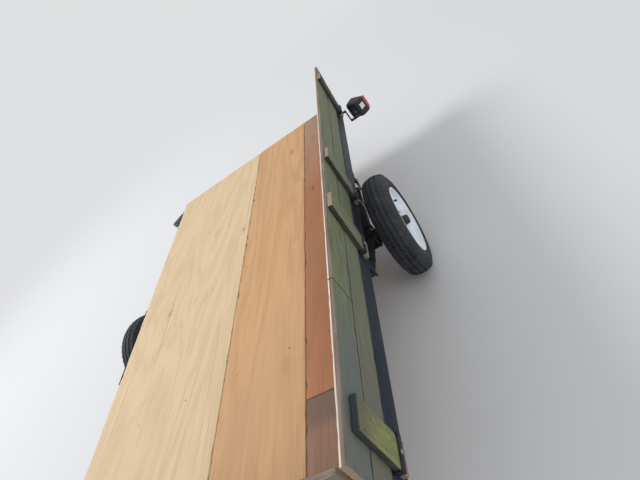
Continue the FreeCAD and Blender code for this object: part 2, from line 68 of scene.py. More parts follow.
# boards: arrises, the skin of a plywood sheet, and the steps of their meshes
ARRIS = 0.0016
# how far in from the inner face the painted highlight on the upper side planks' top arris reaches
HIGHLIGHT_ARRIS_REACH = 0.005
PLY_SKIN = 0.0022
DARK_EDGE_FROM = 0.65
FINE_STEP = 0.004
LONG_STEP = 0.022
STEP_GROWTH = 1.45
CHIP = 0.0022
CHIP_REACH = 0.006
NICK_FROM = 0.12
NICK_GAIN = 3.2
WEAR = 0.0005
END_WEAR = 0.0011

# fasteners: the radius and height of their heads, and how far they sit into the wood or steel
NAIL_HEAD = (0.0046, 0.0016)
NAIL_POINT = (0.0042, 0.0014)
SCREW_HEAD = (0.0048, 0.0012)
STRAP_BOLT_HEAD = (0.0065, 0.0032)
LENS_SCREW_HEAD = (0.0036, 0.0016)
HEAD_SINK = 0.0012
STRAP_SINK = 0.0002
NAIL_FROM_TOP = 0.012
SCREWS_IN_ROW = 9

# weld beads
BEAD = 0.0028
THIN_BEAD = 0.0022
TONGUE_BEAD = 0.003
BEAD_LIFT = 0.0003
BEAD_ASIDE = 0.0006
BEAD_RIPPLE = (0.16, 0.0055)
BEAD_WANDER = 0.0005

# tyre
TREAD_PERIODS = 54
TREAD_STEPS = 6
TREAD_SHARE = 0.74
TREAD_CROWN = 0.012
TREAD_SINK = 0.0004
GROOVES = (-0.5, 0.0, 0.5)
RIBS = (-0.76, -0.25, 0.25, 0.76)
SHOULDER = ((0.9, 0.0), (0.93, 1.0), (1.0, 1.0))
GROOVE_DEPTH = 0.0055
GROOVE_HALF = 0.0028
GROOVE_SLOPE = 0.0012
ZIGZAG = 0.0024
NOTCH_DEPTH = 0.0042
WALL_NOTCH = 0.0022
WALL_STEPS = 26
WALL_RINGS = ((0.2, 0.0009), (0.34, 0.0012), (0.62, 0.0009), (0.86, 0.0016))
BEAD_RADIUS = 0.1528
BEAD_HALF = 0.0504

# rim and hub
LATHE_STEPS = 96
CORNER_CUT = 0.22
RIM_LIP = 0.1642
RIM_SEAT = 0.1524
RIM_WELL = 0.1345
RIM_WALL = 0.003
DISC_FACE = 0.012
DISC_CROWN = 0.032
DISC_WALL = 0.0035
LUG_COUNT = 5
LUG_CIRCLE = 0.05715
LUG_HOLE = 0.008
HAND_HOLES = (8, 0.119, 0.009, math.pi / 8)
THREAD_PITCH = 0.0012

# tail lamps
CASE_ROWS = ((0.0, 0.0), (0.02, 0.0), (0.04, 0.0006), (0.061, 0.0035), (0.0715, 0.009), (0.0765, 0.017))
CASE_CORNER = 0.009
CASE_CORNER_STEPS = 10
CASE_BOLT_ASIDE = 0.026
LENS_COLUMNS = 56
LENS_LINES = 26
LENS_EDGE = 0.014
LENS_RIM = 0.012
LENS_BAND = (0.13, 0.0014)
LENS_FLUTE = 0.0009
LENS_SCREW_ASIDE = 0.04
WINDOW_RIBS = 8

# floor, background and lamps
BACKGROUND = (0.74, 0.75, 0.76)
FLOOR_FADE = (3.0, 8.0)
FLOOR_REACH = 60.0
FLOOR_COLOUR = (0.7, 0.7, 0.7)
SKY = (0.93, 0.96, 1.0)
SKY_STRENGTH = 0.7
LIGHTS = (("key", (-2.4, -8.6, 9.4), 5.0, 820.0), ("fill", (6.4, 7.2, 8.0), 6.0, 200.0))
LIGHT_AIM = Vector((0, 0, 0.4))


# mesh building

SAME_PLACE = 1e-5

class Builder:
    """Gathers loose shapes and makes one mesh object of them."""

    def __init__(self):
        self.bm = bmesh.new()

    def ring(self, places):
        return [self.bm.verts.new(place) for place in places]

    def circle(self, middle, radius, side, other, count):
        """A ring about middle, in the plane of two directions."""
        turns = [2 * math.pi * n / count for n in range(count)]
        return self.ring(middle + radius * (math.cos(t) * side + math.sin(t) * other) for t in turns)

    def bridge(self, near, far):
        """Faces between two closed rings, either of which may be a single point."""
        count = max(len(near), len(far))
        for n in range(count):
            m = (n + 1) % count
            corners = (near[n % len(near)], near[m % len(near)], far[m % len(far)], far[n % len(far)])
            corners = tuple(dict.fromkeys(corners))
            if len(corners) > 2:
                self.bm.faces.new(corners)

    def skin(self, rings, closed=False):
        """Faces between each ring and the next, and from the last to the first where closed."""
        for near, far in zip(rings, rings[1:] + (rings[:1] if closed else [])):
            self.bridge(near, far)

    def turned(self, profile, start, way, steps=16):
        """A lathe shape about the line from start along way, from a profile of (along, radius)."""
        axis = Vector(way).normalized()
        side = axis.orthogonal().normalized()
        other = axis.cross(side)
        self.skin([self.circle(Vector(start) + axis * along, radius, side, other, steps if radius else 1)
                   for along, radius in profile])

    def rod(self, start, end, radius, steps):
        way = Vector(end) - Vector(start)
        self.turned([(0, 0), (0, radius), (way.length, radius), (way.length, 0)], start, way, steps)

    def hexagon(self, start, way, across, height):
        """A bolt head or nut: a hexagon with its outer corners eased."""
        radius = across / math.sqrt(3)
        profile = [(0, 0), (0, radius), (height * 0.82, radius), (height, radius * 0.84), (height, 0)]
        self.turned(profile, start, way, 6)

    def bolt(self, start, way, across):
        """A washer, a hexagon and the end of its stud."""
        washer = across * 0.12
        head = across * 0.52
        start, way = Vector(start), Vector(way).normalized()
        self.turned([(0, 0), (0, across * 0.72), (washer, across * 0.7), (washer, 0)], start, way, 20)
        self.hexagon(start + way * washer, way, across, head)
        self.turned([(0, across * 0.3), (across * 0.2, across * 0.3), (across * 0.26, across * 0.22),
                     (across * 0.26, 0)], start + way * (washer + head), way, 14)

    def dome(self, start, way, radius, height):
        """The low round head of a nail, rivet or carriage bolt."""
        upper = [(height * 0.5, radius * 0.9), (height * 0.86, radius * 0.6), (height, 0)]
        self.turned([(0, 0), (0, radius)] + upper, start, way, 12)

    def sweep(self, points, radius, steps, ripple=0.0, ripple_length=1.0):
        """A round bar along points, closed at both ends, with its size rippled for a weld bead."""
        path = [Vector(p) for p in points]
        rings = []
        length = 0.0
        up = Vector((0.13, 0.37, 0.92))
        for before, place, after in zip(path[:1] + path, path, path[1:] + path[-1:]):
            ahead = after - before
            side = ahead.cross(up).normalized()
            other = side.cross(ahead).normalized()
            length += (place - before).length
            size = radius * (1 + ripple * math.sin(2 * math.pi * length / ripple_length))
            rings.append(self.circle(place, size, side, other, steps))
        self.skin(rings)
        for ring in (rings[0][::-1], rings[-1]):
            self.bm.faces.new(ring)

    def mesh(self, name):
        bmesh.ops.recalc_face_normals(self.bm, faces=self.bm.faces)
        mesh = bpy.data.meshes.new(name)
        self.bm.to_mesh(mesh)
        self.bm.free()
        return mesh

    def make(self, name, keys, *details, **more):
        return finished(self.mesh(name), name, keys, *details, **more)


def linked(name, data):
    """A new object in the scene."""
    made = bpy.data.objects.new(name, data)
    bpy.context.scene.collection.objects.link(made)
    return made


def softened(mesh, angle):
    mesh.shade_smooth()
    mesh.set_sharp_from_angle(angle=math.radians(angle))


def finished(mesh, name, keys, node=None, slot_name=None, body=TRAILER, angle=38.0):
    """An object that rides on its body and stands for its CAD node, flat shaded where it has no angle."""
    for key in keys.split():
        mesh.materials.append(MAT[key])
    piece = linked(name, mesh)
    if angle:
        softened(mesh, angle)
    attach(piece, body)
    if node:
        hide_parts(node)
    return piece


def baked(piece, angle):
    """Applies a piece's modifiers to its mesh and shades it anew."""
    graph = bpy.context.evaluated_depsgraph_get()
    mesh = bpy.data.meshes.new_from_object(piece.evaluated_get(graph))
    piece.modifiers.clear()
    piece.data = mesh
    softened(mesh, angle)


def eased(node, keys, width, slot_name, body=TRAILER):
    """A copy of a CAD node whose edges are rounded by width. Its last material is on the rounded edges."""
    bm = bmesh.new()
    bm.from_mesh(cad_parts[node].data)
    bmesh.ops.remove_doubles(bm, verts=bm.verts, dist=SAME_PLACE)
    bmesh.ops.dissolve_limit(bm, angle_limit=math.radians(0.5), verts=bm.verts, edges=bm.edges)
    for face in bm.faces:
        face.material_index = 0
    mesh = bpy.data.meshes.new(node + "_eased")
    bm.to_mesh(mesh)
    bm.free()
    piece = finished(mesh, node + "_eased", keys, node, slot_name, body, angle=None)
    bevel = piece.modifiers.new("ease", "BEVEL")
    bevel.width = width
    bevel.segments = 2
    bevel.limit_method = "ANGLE"
    bevel.angle_limit = math.radians(35.0)
    bevel.use_clamp_overlap = True
    bevel.material = len(mesh.materials) - 1
    baked(piece, 38.0)


def solids_of(node, turn=Matrix()):
    """The low and high corners of each separate solid in a node, after a turn."""
    bm = bmesh.new()
    bm.from_mesh(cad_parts[node].data)
    bm.transform(turn)
    bmesh.ops.remove_doubles(bm, verts=bm.verts, dist=SAME_PLACE)
    seen, found = set(), []
    for start in bm.verts:
        if start in seen:
            continue
        group, todo = [], [start]
        seen.add(start)
        while todo:
            vert = todo.pop()
            group.append(vert.co[:])
            beyond = {edge.other_vert(vert) for edge in vert.link_edges} - seen
            seen |= beyond
            todo += beyond
        found.append(([min(places) for places in zip(*group)], [max(places) for places in zip(*group)]))
    bm.free()
    return sorted(found)


def middle_of(low, high):
    return [(a + b) / 2 for a, b in zip(low, high)]


def part_way(box, axis, share):
    return box[0][axis] + (box[1][axis] - box[0][axis]) * share


# materials

def colour4(value):
    return (*value, 1.0) if isinstance(value, tuple) else value


def scaled(colour, share):
    return tuple(c * share for c in colour)


class Value:
    """A value in a node tree. It adds, subtracts and multiplies as a number does."""

    def __init__(self, nodes, socket):
        self.nodes = nodes
        self.socket = socket

    def __add__(self, other):
        return self.nodes.maths("ADD", self, other)

    def __sub__(self, other):
        return self.nodes.maths("SUBTRACT", self, other)

    def __mul__(self, other):
        return self.nodes.maths("MULTIPLY", self, other)


class Nodes:
    """The node tree of a new material or world. Its patterns are moved by shift."""

    def __init__(self, name, shift=(0, 0, 0), kind="materials"):
        self.owner = getattr(bpy.data, kind).new(name)
        self.owner.use_nodes = True
        self.tree = self.owner.node_tree
        self.shift = shift

    def put(self, socket, value):
        if isinstance(value, Value):
            self.tree.links.new(value.socket, socket)
        else:
            socket.default_value = value

    def node(self, kind, values, output=0, **settings):
        """The value that a new node gives from its own values."""
        made = self.tree.nodes.new(kind)
        for key, value in settings.items():
            setattr(made, key, value)
        for key, value in values.items():
            self.put(made.inputs[key], value)
        return Value(self, made.outputs[output])

    def maths(self, operation, a, b):
        return self.node("ShaderNodeMath", {0: a, 1: b}, operation=operation)

    def coords(self):
        return self.node("ShaderNodeTexCoord", {}, "Object")

    def level(self, axis):
        return self.node("ShaderNodeSeparateXYZ", {"Vector": self.coords()}, axis)

    def place(self, scale, rotate=(0, 0, 0), move=None):
        scale = scale if isinstance(scale, tuple) else (scale,) * 3
        values = {"Vector": self.coords(), "Scale": scale, "Rotation": rotate,
                  "Location": move or self.shift}
        return self.node("ShaderNodeMapping", values)

    def noise(self, scale, detail=4.0, rough=0.55, distortion=0.0, rotate=(0, 0, 0)):
        values = {"Vector": self.place(scale, rotate), "Scale": 1.0, "Detail": detail, "Roughness": rough,
                  "Distortion": distortion}
        return self.node("ShaderNodeTexNoise", values, "Fac")

    def cells(self, scale, randomness=1.0):
        values = {"Vector": self.place(scale), "Scale": 1.0, "Randomness": randomness}
        return self.node("ShaderNodeTexVoronoi", values, "Distance")

    def graded(self, value, *colours):
        """The dark, middle and light colour as the value grows."""
        made = self.tree.nodes.new("ShaderNodeValToRGB")
        self.put(made.inputs["Fac"], value)
        bar = made.color_ramp.elements
        bar.new(0.5)
        for element, place, colour in zip(bar, (0.2, 0.48, 0.8), colours):
            element.position = place
            element.color = colour4(colour)
        return Value(self, made.outputs["Color"])

    def fade(self, value, low, high):
        """0 at low and 1 at high, and level beyond them."""
        values = {"Value": value, "From Min": low, "From Max": high}
        return self.node("ShaderNodeMapRange", values, "Result", interpolation_type="SMOOTHSTEP")

    def stripes(self, value):
        """A wave up to 0.5 and back as the value grows by 1."""
        return self.maths("PINGPONG", value, 0.5)

    def mix(self, factor, a, b):
        values = {"Factor": factor, 6: colour4(a), 7: colour4(b)}
        return self.node("ShaderNodeMix", values, 2, data_type="RGBA")

    def stain(self, colour, other, value, low, high, strength=1.0):
        """The colour giving way to another one as the value goes from low to high."""
        return self.mix(self.fade(value, low, high) * strength, colour, other)

    def changed(self, colour, change, blotch, fibre):
        """The colour giving way to another one between two places on an axis, unevenly."""
        axis, start, finish, other = change
        edge = self.level(axis) + (blotch - 0.5) * (finish - start)
        fibres = self.mix(fibre, scaled(other, 0.7), scaled(other, 1.25))
        return self.stain(colour, fibres, edge, start, finish, 0.8)

    def bump(self, height, strength, distance):
        return self.node("ShaderNodeBump", {"Height": height, "Strength": strength, "Distance": distance})

    def surface(self, output, factor, first, second):
        """Two shaders into the output of the tree, the second one as the factor grows."""
        mixed = self.node("ShaderNodeMixShader", {0: factor, 1: first, 2: second})
        self.put(self.tree.nodes[output].inputs["Surface"], mixed)

    def shader(self):
        return self.tree.nodes["Principled BSDF"]

    def finish(self, colour, rough, normal=None, metal=0.0, **more):
        values = {"Base Color": colour4(colour), "Roughness": rough, "Metallic": metal, **more}
        if normal is not None:
            values["Normal"] = normal
        for key, value in values.items():
            self.put(self.shader().inputs[key.replace("_", " ")], value)
        return self.owner


def wood(name, tones, grain="X", move=0.0, weather=0.5, changes=()):
    """Sawn softwood: fibres and growth rings along the grain, knots, blotches of weathering, fine checks.
    tones are its dark, middle and light colours and the colour of its weathering. Each change is an axis,
    two places on it and the colour that the wood takes on between them."""
    n = Nodes(name, (move, move * 0.7, move * 1.3))
    dark, middle, light, worn = tones

    def along(fine, long):
        return tuple(long if axis == grain else fine for axis in "XYZ")

    fibre = n.noise(along(260, 5), 5.0, 0.6)
    bands = n.stripes(n.noise(along(17, 0.9), 2.0, 0.45, 0.9) * 9.0)
    colour = n.graded(bands * 0.55 + fibre * 0.7, dark, middle, light)
    blotch = n.noise(along(9, 2.2), 5.0, 0.62)
    colour = n.stain(colour, worn, blotch, 0.44, 0.66, weather)
    for change in changes:
        colour = n.changed(colour, change, blotch, fibre)
    colour = n.stain(colour, scaled(dark, 0.45), n.cells(along(7.5, 2.1)), 0.115, 0.03, 0.75)
    checks = n.fade(n.noise(along(150, 1.6), 3.0, 0.5), 0.66, 0.71)
    colour = n.mix(checks * 0.55, colour, scaled(dark, 0.35))
    height = fibre * 0.7 + bands * 0.5 - checks
    return n.finish(colour, fibre * 0.22 + 0.62, n.bump(height, 0.45, 0.0012))


def end_grain(name, dark, light, axes):
    """The sawn end of a board: arcs of growth rings about a far heart, and pores."""
    n = Nodes(name)
    where = n.place(tuple(34 if axis in axes else 0.01 for axis in "XYZ"), move=(0.3, 0.9, -11.4))
    values = {"Vector": where, "Scale": 1.3, "Distortion": 1.6, "Detail": 2.0, "Detail Scale": 1.5}
    rings = n.node("ShaderNodeTexWave", values, "Fac", wave_type="RINGS")
    pores = n.noise(420, 3.0, 0.6)
    colour = n.stain(n.mix(rings * 0.7, light, dark), scaled(dark, 0.5), pores, 0.5, 0.75)
    return n.finish(colour, 0.82, n.bump(rings + pores, 0.4, 0.001))


def plywood(name, tones, move=0.0, dirt=0.35, changes=()):
    """A rotary-cut face veneer: broad flowing figure, pin knots, a few long splits and trodden dirt."""
    n = Nodes(name, (move, move * 1.7, 0))
    dark, middle, light, soil = tones
    figure = n.stripes(n.noise((0.4, 3.4, 1.0), 3.0, 0.5, 1.1) * 8.0)
    fibre = n.noise((6, 260, 1), 5.0, 0.62)
    colour = n.graded(figure * 0.4 + fibre * 0.75, dark, middle, light)
    soft = n.noise((1.1, 2.2, 1), 5.0, 0.6)
    colour = n.stain(colour, soil, soft, 0.45, 0.7, dirt)
    for change in changes:
        colour = n.changed(colour, change, soft, fibre)
    knots = n.cells((2.3, 5.6, 0.01))
    colour = n.stain(colour, scaled(dark, 0.6), knots, 0.16, 0.04, 0.25)
    colour = n.stain(colour, scaled(dark, 0.4), knots, 0.06, 0.02, 0.8)
    splits = n.fade(n.noise((0.9, 120, 1), 2.0, 0.5), 0.7, 0.74)
    colour = n.mix(splits * 0.5, colour, scaled(dark, 0.4))
    scuffs = n.noise((26, 4, 1), 4.0, 0.7, rotate=(0, 0, 0.5))
    colour = n.stain(colour, scaled(soil, 0.62), scuffs, 0.62, 0.72, 0.18)
    height = fibre * 0.6 + figure * 0.35 - splits
    return n.finish(colour, fibre * 0.2 + 0.6, n.bump(height, 0.35, 0.0009))


def ply_edge(name, light, dark):
    """The edge of a sheet: its plies in turn, with splinters and dirt."""
    n = Nodes(name)
    bands = n.stripes(n.level("Z") * 280.0)
    fibre = n.noise((60, 60, 900), 4.0, 0.6)
    colour = n.stain(light, dark, bands, 0.2, 0.3)
    colour = n.stain(colour, scaled(dark, 0.5), fibre, 0.5, 0.7, 0.6)
    return n.finish(colour, 0.8, n.bump(bands + fibre, 0.5, 0.0012))


def painted(name, colour, worn, rust=0.35, rough=0.42, dust=(0.33, 0.3, 0.26), dusty=0.5, **more):
    """Brushed enamel on steel: orange peel, chips that show rust, and patches of dust."""
    n = Nodes(name)
    chipped = 0.72 - 0.22 * rust
    chips = n.fade(n.noise(26, 8.0, 0.68), chipped, chipped + 0.03)
    base = n.mix(chips, n.stain(colour, scaled(colour, 1.35), n.noise(5), 0.35, 0.7), worn)
    grime = n.noise((11, 11, 30), 6.0, 0.66)
    base = n.stain(base, dust, grime, 0.46, 0.78, dusty)
    peel = n.noise(190, 3.0, 0.5)
    return n.finish(base, (chips + grime) * 0.28 + rough, n.bump(peel * 0.3 - chips, 0.3, 0.0006), **more)


def metal(name, colour, stain, rough=0.38, stained=0.4, metallic=1.0):
    """Bare or plated steel, dulled in patches."""
    n = Nodes(name)
    fine = n.noise(140, 4.0, 0.6)
    patch = n.noise(19, 7.0, 0.66)
    spots = n.fade(patch, 0.5, 0.68) * stained
    base = n.mix(spots, n.mix(fine, colour, scaled(colour, 0.78)), stain)
    bright = n.maths("SUBTRACT", 1.0, spots) * metallic
    return n.finish(base, (fine + spots) * 0.24 + rough, n.bump(fine + patch, 0.22, 0.0006), bright)


def rubber(name, colour, dust_with_sky_tint):
    """Sidewall and tread rubber, greyed by road dust in patches. The tyre's dust colour is tinted blue as
    painted skylight.
    """
    n = Nodes(name)
    dust = n.noise(15, 7.0, 0.64)
    shade = n.stain(colour, dust_with_sky_tint, dust, 0.42, 0.74, 0.5)
    return n.finish(shade, dust * 0.25 + 0.6, n.bump(n.noise(240, 4.0, 0.6), 0.25, 0.0005))


def plastic(name, colour, rough):
    """Moulded plastic with a fine grain, paler where dust lies on it."""
    n = Nodes(name)
    dust = n.noise(21, 6.0, 0.65)
    shade = n.stain(colour, tuple(c + 0.16 for c in colour), dust, 0.5, 0.8, 0.22)
    return n.finish(shade, dust * 0.16 + rough, n.bump(n.noise(330, 3.0, 0.6), 0.3, 0.0004))


def lens(name, colour):
    """Moulded lens plastic: clear depth over a grid of small prisms."""
    n = Nodes(name)
    prisms = n.cells(170, 0.1)
    shade = n.stain(tuple(min(1.0, c * 1.5 + 0.02) for c in colour), colour, prisms, 0.1, 0.6)
    return n.finish(shade, 0.12, n.bump(prisms, 0.3, 0.0008), Coat_Weight=0.6, Coat_Roughness=0.05)


# tones: dark, middle and light, and the colour of weathering or soil
# The treated timber's green, made darker than its own colour as painted shade.
GREEN_DARKENED_AS_SHADE = ((0.075, 0.088, 0.043), (0.15, 0.172, 0.088), (0.225, 0.245, 0.135), (0.15, 0.155, 0.12))
GREY = ((0.09, 0.092, 0.075), (0.16, 0.168, 0.14), (0.235, 0.24, 0.2), (0.15, 0.16, 0.145))
STAKE = ((0.11, 0.115, 0.036), (0.23, 0.25, 0.078), (0.33, 0.35, 0.13), (0.16, 0.15, 0.1))
# SHADED is painted shade: for the stakes' narrow sides, and for plank faces and ends at the gaps and butt
# between planks.
SHADED = ((0.022, 0.023, 0.02), (0.045, 0.046, 0.036), (0.075, 0.075, 0.058), (0.05, 0.042, 0.032))
TOP = ((0.075, 0.052, 0.038), (0.2, 0.145, 0.108), (0.37, 0.29, 0.225), (0.16, 0.125, 0.1))
# Painted highlight on the inner top arris of the upper side planks.
ARRIS_HIGHLIGHT = ((0.55, 0.46, 0.34), (0.74, 0.65, 0.51), (0.84, 0.77, 0.64), (0.66, 0.58, 0.46))
PLY_LIGHT = ((0.55, 0.38, 0.215), (0.66, 0.48, 0.29), (0.74, 0.565, 0.365), (0.56, 0.4, 0.24))
PLY_ORANGE = ((0.46, 0.24, 0.1), (0.58, 0.32, 0.145), (0.66, 0.4, 0.2), (0.46, 0.28, 0.15))
# The strip along the left side: the deck's orange plywood, darkened as painted shadow.
PLY_STRIP_IN_PAINTED_SHADE = ((0.3, 0.11, 0.043), (0.4, 0.155, 0.064), (0.48, 0.21, 0.095), (0.26, 0.115, 0.056))
PLY_PATCH = ((0.17, 0.083, 0.047), (0.28, 0.14, 0.08), (0.38, 0.205, 0.125), (0.13, 0.07, 0.048))

# single colours
SAWN = ((0.2, 0.13, 0.085), (0.42, 0.31, 0.2))
RUST = (0.17, 0.07, 0.03)
ROAD_DUST = (0.1, 0.11, 0.13)
ENAMEL = {"rough": 0.46, "dust": ROAD_DUST, "dusty": 0.3, "Specular_IOR_Level": 0.3}

# changes along a piece: axis, start, end and colour
STAKE_TIP = ("Z", 0.47, 0.455, (0.34, 0.23, 0.175))
STAKE_HEAD = ("Z", 0.585, 0.665, (0.125, 0.105, 0.075))
LOWER_FRONT = ("X", -0.3, 0.7, (0.155, 0.145, 0.12))
UPPER_FRONT = ("X", 0.2, 0.5, (0.135, 0.15, 0.145))
# Painted light: the strip's plywood greyer and paler towards the rear.
STRIP_REAR_PAINTED_LIGHT = ("X", -0.65, -1.45, (0.37, 0.235, 0.165))
PATCH_REAR = ("X", 0.56, 0.5, (0.15, 0.086, 0.06))

MAT = {
    "green": wood("treated_plank_green", GREEN_DARKENED_AS_SHADE, "X", 0.0, 0.45, [LOWER_FRONT]),
    "green_upper": wood("treated_plank_upper", GREEN_DARKENED_AS_SHADE, "X", 3.7, 0.5),
    "grey": wood("treated_plank_grey", GREEN_DARKENED_AS_SHADE, "X", 7.1, 0.6, [UPPER_FRONT]),
    "green_across": wood("treated_board_across", GREY, "Y", 5.3, 0.6),
    "stake": wood("stake_timber", STAKE, "Z", 2.2, 0.4, [STAKE_HEAD, STAKE_TIP]),
    "stake_weathered": wood("stake_timber_weathered", GREEN_DARKENED_AS_SHADE, "Z", 6.4, 0.4, [STAKE_TIP]),
    # Painted shade: the dark wood of the stakes' narrow sides and of the whole rear stake on the side.
    "stake_side": wood("stake_side", SHADED, "Z", 1.2, 0.4, [STAKE_TIP]),
    "plank_shaded": wood("plank_shaded", SHADED, "X", 3.3, 0.3),
    "board_shaded": wood("board_shaded", SHADED, "Y", 3.3, 0.3),
    "plank_top": wood("plank_top", TOP, "X", 1.6, 0.5),
    "plank_arris_painted_highlight": wood("plank_arris_painted_highlight", ARRIS_HIGHLIGHT, "X", 2.9, 0.3),
    "board_top": wood("board_top", TOP, "Y", 4.1, 0.5),
    "plank_end": end_grain("plank_end_grain", *SAWN, "YZ"),
    "board_end": end_grain("board_end_grain", *SAWN, "XZ"),
    "stake_end": end_grain("stake_end_grain", (0.2, 0.125, 0.085), (0.42, 0.31, 0.215), "XY"),
    # Painted shade: the dark top end of the front stake on the side.
    "stake_end_dark": end_grain("stake_end_grain_dark", (0.018, 0.028, 0.032), (0.045, 0.062, 0.066), "XY"),
    "ply_light": plywood("plywood_light", PLY_LIGHT, 0.0, 0.3),
    "ply_orange": plywood("plywood_orange", PLY_ORANGE, 4.4, 0.35),
    "ply_painted_shade": plywood("plywood_strip_painted_shade", PLY_STRIP_IN_PAINTED_SHADE, 8.3, 0.45, [STRIP_REAR_PAINTED_LIGHT]),
    "ply_patch": plywood("plywood_patch", PLY_PATCH, 2.1, 0.5, [PATCH_REAR]),
    "ply_edge": ply_edge("plywood_edge", (0.6, 0.45, 0.28), (0.3, 0.2, 0.11)),
    "ply_edge_dark": ply_edge("plywood_edge_dark", (0.06, 0.05, 0.042), (0.03, 0.027, 0.025)),
    "frame": painted("frame_enamel", (0.01, 0.015, 0.029), RUST, rust=0.25, **ENAMEL),
    "frame_edge": painted("frame_enamel_edge", (0.02, 0.025, 0.04), (0.1, 0.06, 0.04), rust=0.8, **ENAMEL),
    "spring": metal("spring_steel", (0.05, 0.05, 0.054), (0.075, 0.045, 0.03), 0.5, 0.6, 0.6),
    "zinc": metal("zinc_plate", (0.5, 0.51, 0.52), (0.3, 0.27, 0.23), 0.36, 0.35, 0.9),
    "lever": painted("lever_enamel", (0.03, 0.03, 0.034), RUST, rust=0.6, rough=0.35),
    # The rubber and its dust are tinted blue as painted skylight.
    "rubber": rubber("tyre_rubber", (0.015, 0.017, 0.022), (0.075, 0.08, 0.09)),
    # White enamel, tinted blue as painted skylight.
    "rim": painted("rim_enamel", (0.72, 0.76, 0.8), (0.34, 0.2, 0.11), rust=0.12, rough=0.3,
                   dust=(0.5, 0.44, 0.36), dusty=0.35),
    "hub": metal("hub_iron", (0.06, 0.055, 0.05), (0.11, 0.07, 0.045), 0.45, 0.6, 0.6),
    "nut": metal("nut_steel", (0.36, 0.34, 0.31), RUST, 0.4, 0.5, 0.9),
    "nail": metal("nail_steel", (0.16, 0.13, 0.11), RUST, 0.5, 0.8, 0.6),
    "weld": metal("weld_bead", (0.05, 0.048, 0.05), RUST, 0.45, 0.4, 0.4),
    "lamp": plastic("lamp_plastic", (0.018, 0.019, 0.022), 0.42),
    "grip": plastic("grip_plastic", (0.025, 0.025, 0.027), 0.5),
    "red": lens("lens_red", (0.5, 0.012, 0.012)),
    "clear": lens("lens_clear", (0.72, 0.73, 0.72)),
    "wire": metal("wire_steel", (0.85, 0.85, 0.83), (0.6, 0.56, 0.5), 0.3, 0.3, 0.1),
}


# boards and sheets

def stations(length, coarse):
    """Places from 0 to length, close together at both ends and growing apart to coarse."""
    near = [0.0]
    step = FINE_STEP
    while near[-1] + step < length / 2:
        near.append(near[-1] + step)
        step = min(step * STEP_GROWTH, coarse)
    far = [length - place for place in reversed(near)]
    if far[0] - near[-1] < FINE_STEP:
        far = far[1:]
    return near + far


def loop_of(width, height, coarse):
    """Places round a board's section, anticlockwise, with its arrises eased."""
    across = [ARRIS + s for s in stations(width - 2 * ARRIS, coarse)]
    upward = [ARRIS + s for s in stations(height - 2 * ARRIS, coarse)]
    points = [(a, 0.0) for a in across] + [(width, u) for u in upward]
    points += [(a, height) for a in reversed(across)] + [(0.0, u) for u in reversed(upward)]
    return points


def board(name, low, high, grain, keys, node, slot_name, seed, chip=CHIP, coarse=0.03, cut=None):
    """A sawn board or sheet between two corners, with worn and chipped arrises and slightly ragged ends.
    keys are the materials of its faces and its ends. Every change goes inward, so it keeps to its CAD
    solid. cut moves points in from a broken corner."""
    along = "XYZ".index(grain)
    across, upward = [n for n in range(3) if n != along]
    size = [b - a for a, b in zip(low, high)]
    length = size[along]
    loop = loop_of(size[across], size[upward], coarse)
    build = Builder()
    rings = []
    for place in stations(length, LONG_STEP):
        ring = []
        for a, u in loop:
            point = [0.0, 0.0, 0.0]
            point[along], point[across], point[upward] = place, a, u
            at = Vector(point)
            drift = noise.noise(at * 5 + Vector((seed, 0, 7)))
            nick = max(0.0, noise.noise(at * 46 + Vector((0, seed, 3))) - NICK_FROM)
            for axis, other in ((across, upward), (upward, across)):
                for edge, way in ((0.0, 1), (size[axis], -1)):
                    if abs(point[axis] - edge) < ARRIS * 1.01:
                        reach = min(point[other], size[other] - point[other])
                        worn = chip * nick * NICK_GAIN * math.exp(-reach / CHIP_REACH)
                        point[axis] += way * (WEAR * (1 + drift) + worn)
            for edge, way in ((0.0, 1), (length, -1)):
                if abs(place - edge) < FINE_STEP * 0.6:
                    ragged = noise.noise(at * 90 + Vector((seed * 2, 5, 0)))
                    point[along] += way * END_WEAR * (1 + ragged)
            if cut:
                point = cut(point)
            ring.append([a + b for a, b in zip(low, point)])
        rings.append(build.ring(ring))
    build.skin(rings)
    for ring in (rings[0], rings[-1]):
        build.bm.faces.new(ring).material_index = 1
    caps = [f for f in build.bm.faces if f.material_index == 1]
    bmesh.ops.triangulate(build.bm, faces=caps)
    return build.make(name, keys, node, slot_name, angle=50.0)


def upright():
    """The turn that stands the leaning side up about the deck's left edge."""
    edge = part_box("deck_sheet_left")[1]
    about = Matrix.Translation((0.0, edge[1], edge[2]))
    return about @ Matrix.Rotation(SIDE_LEAN, 4, "X") @ about.inverted()


def recover(piece, chosen, key, ends=False):
    """Gives the chosen faces of a piece, or of its sawn ends, another material."""
    piece.data.materials.append(MAT[key])
    for polygon in piece.data.polygons:
        if (polygon.material_index == 1) == ends and chosen(polygon):
            polygon.material_index = len(piece.data.materials) - 1


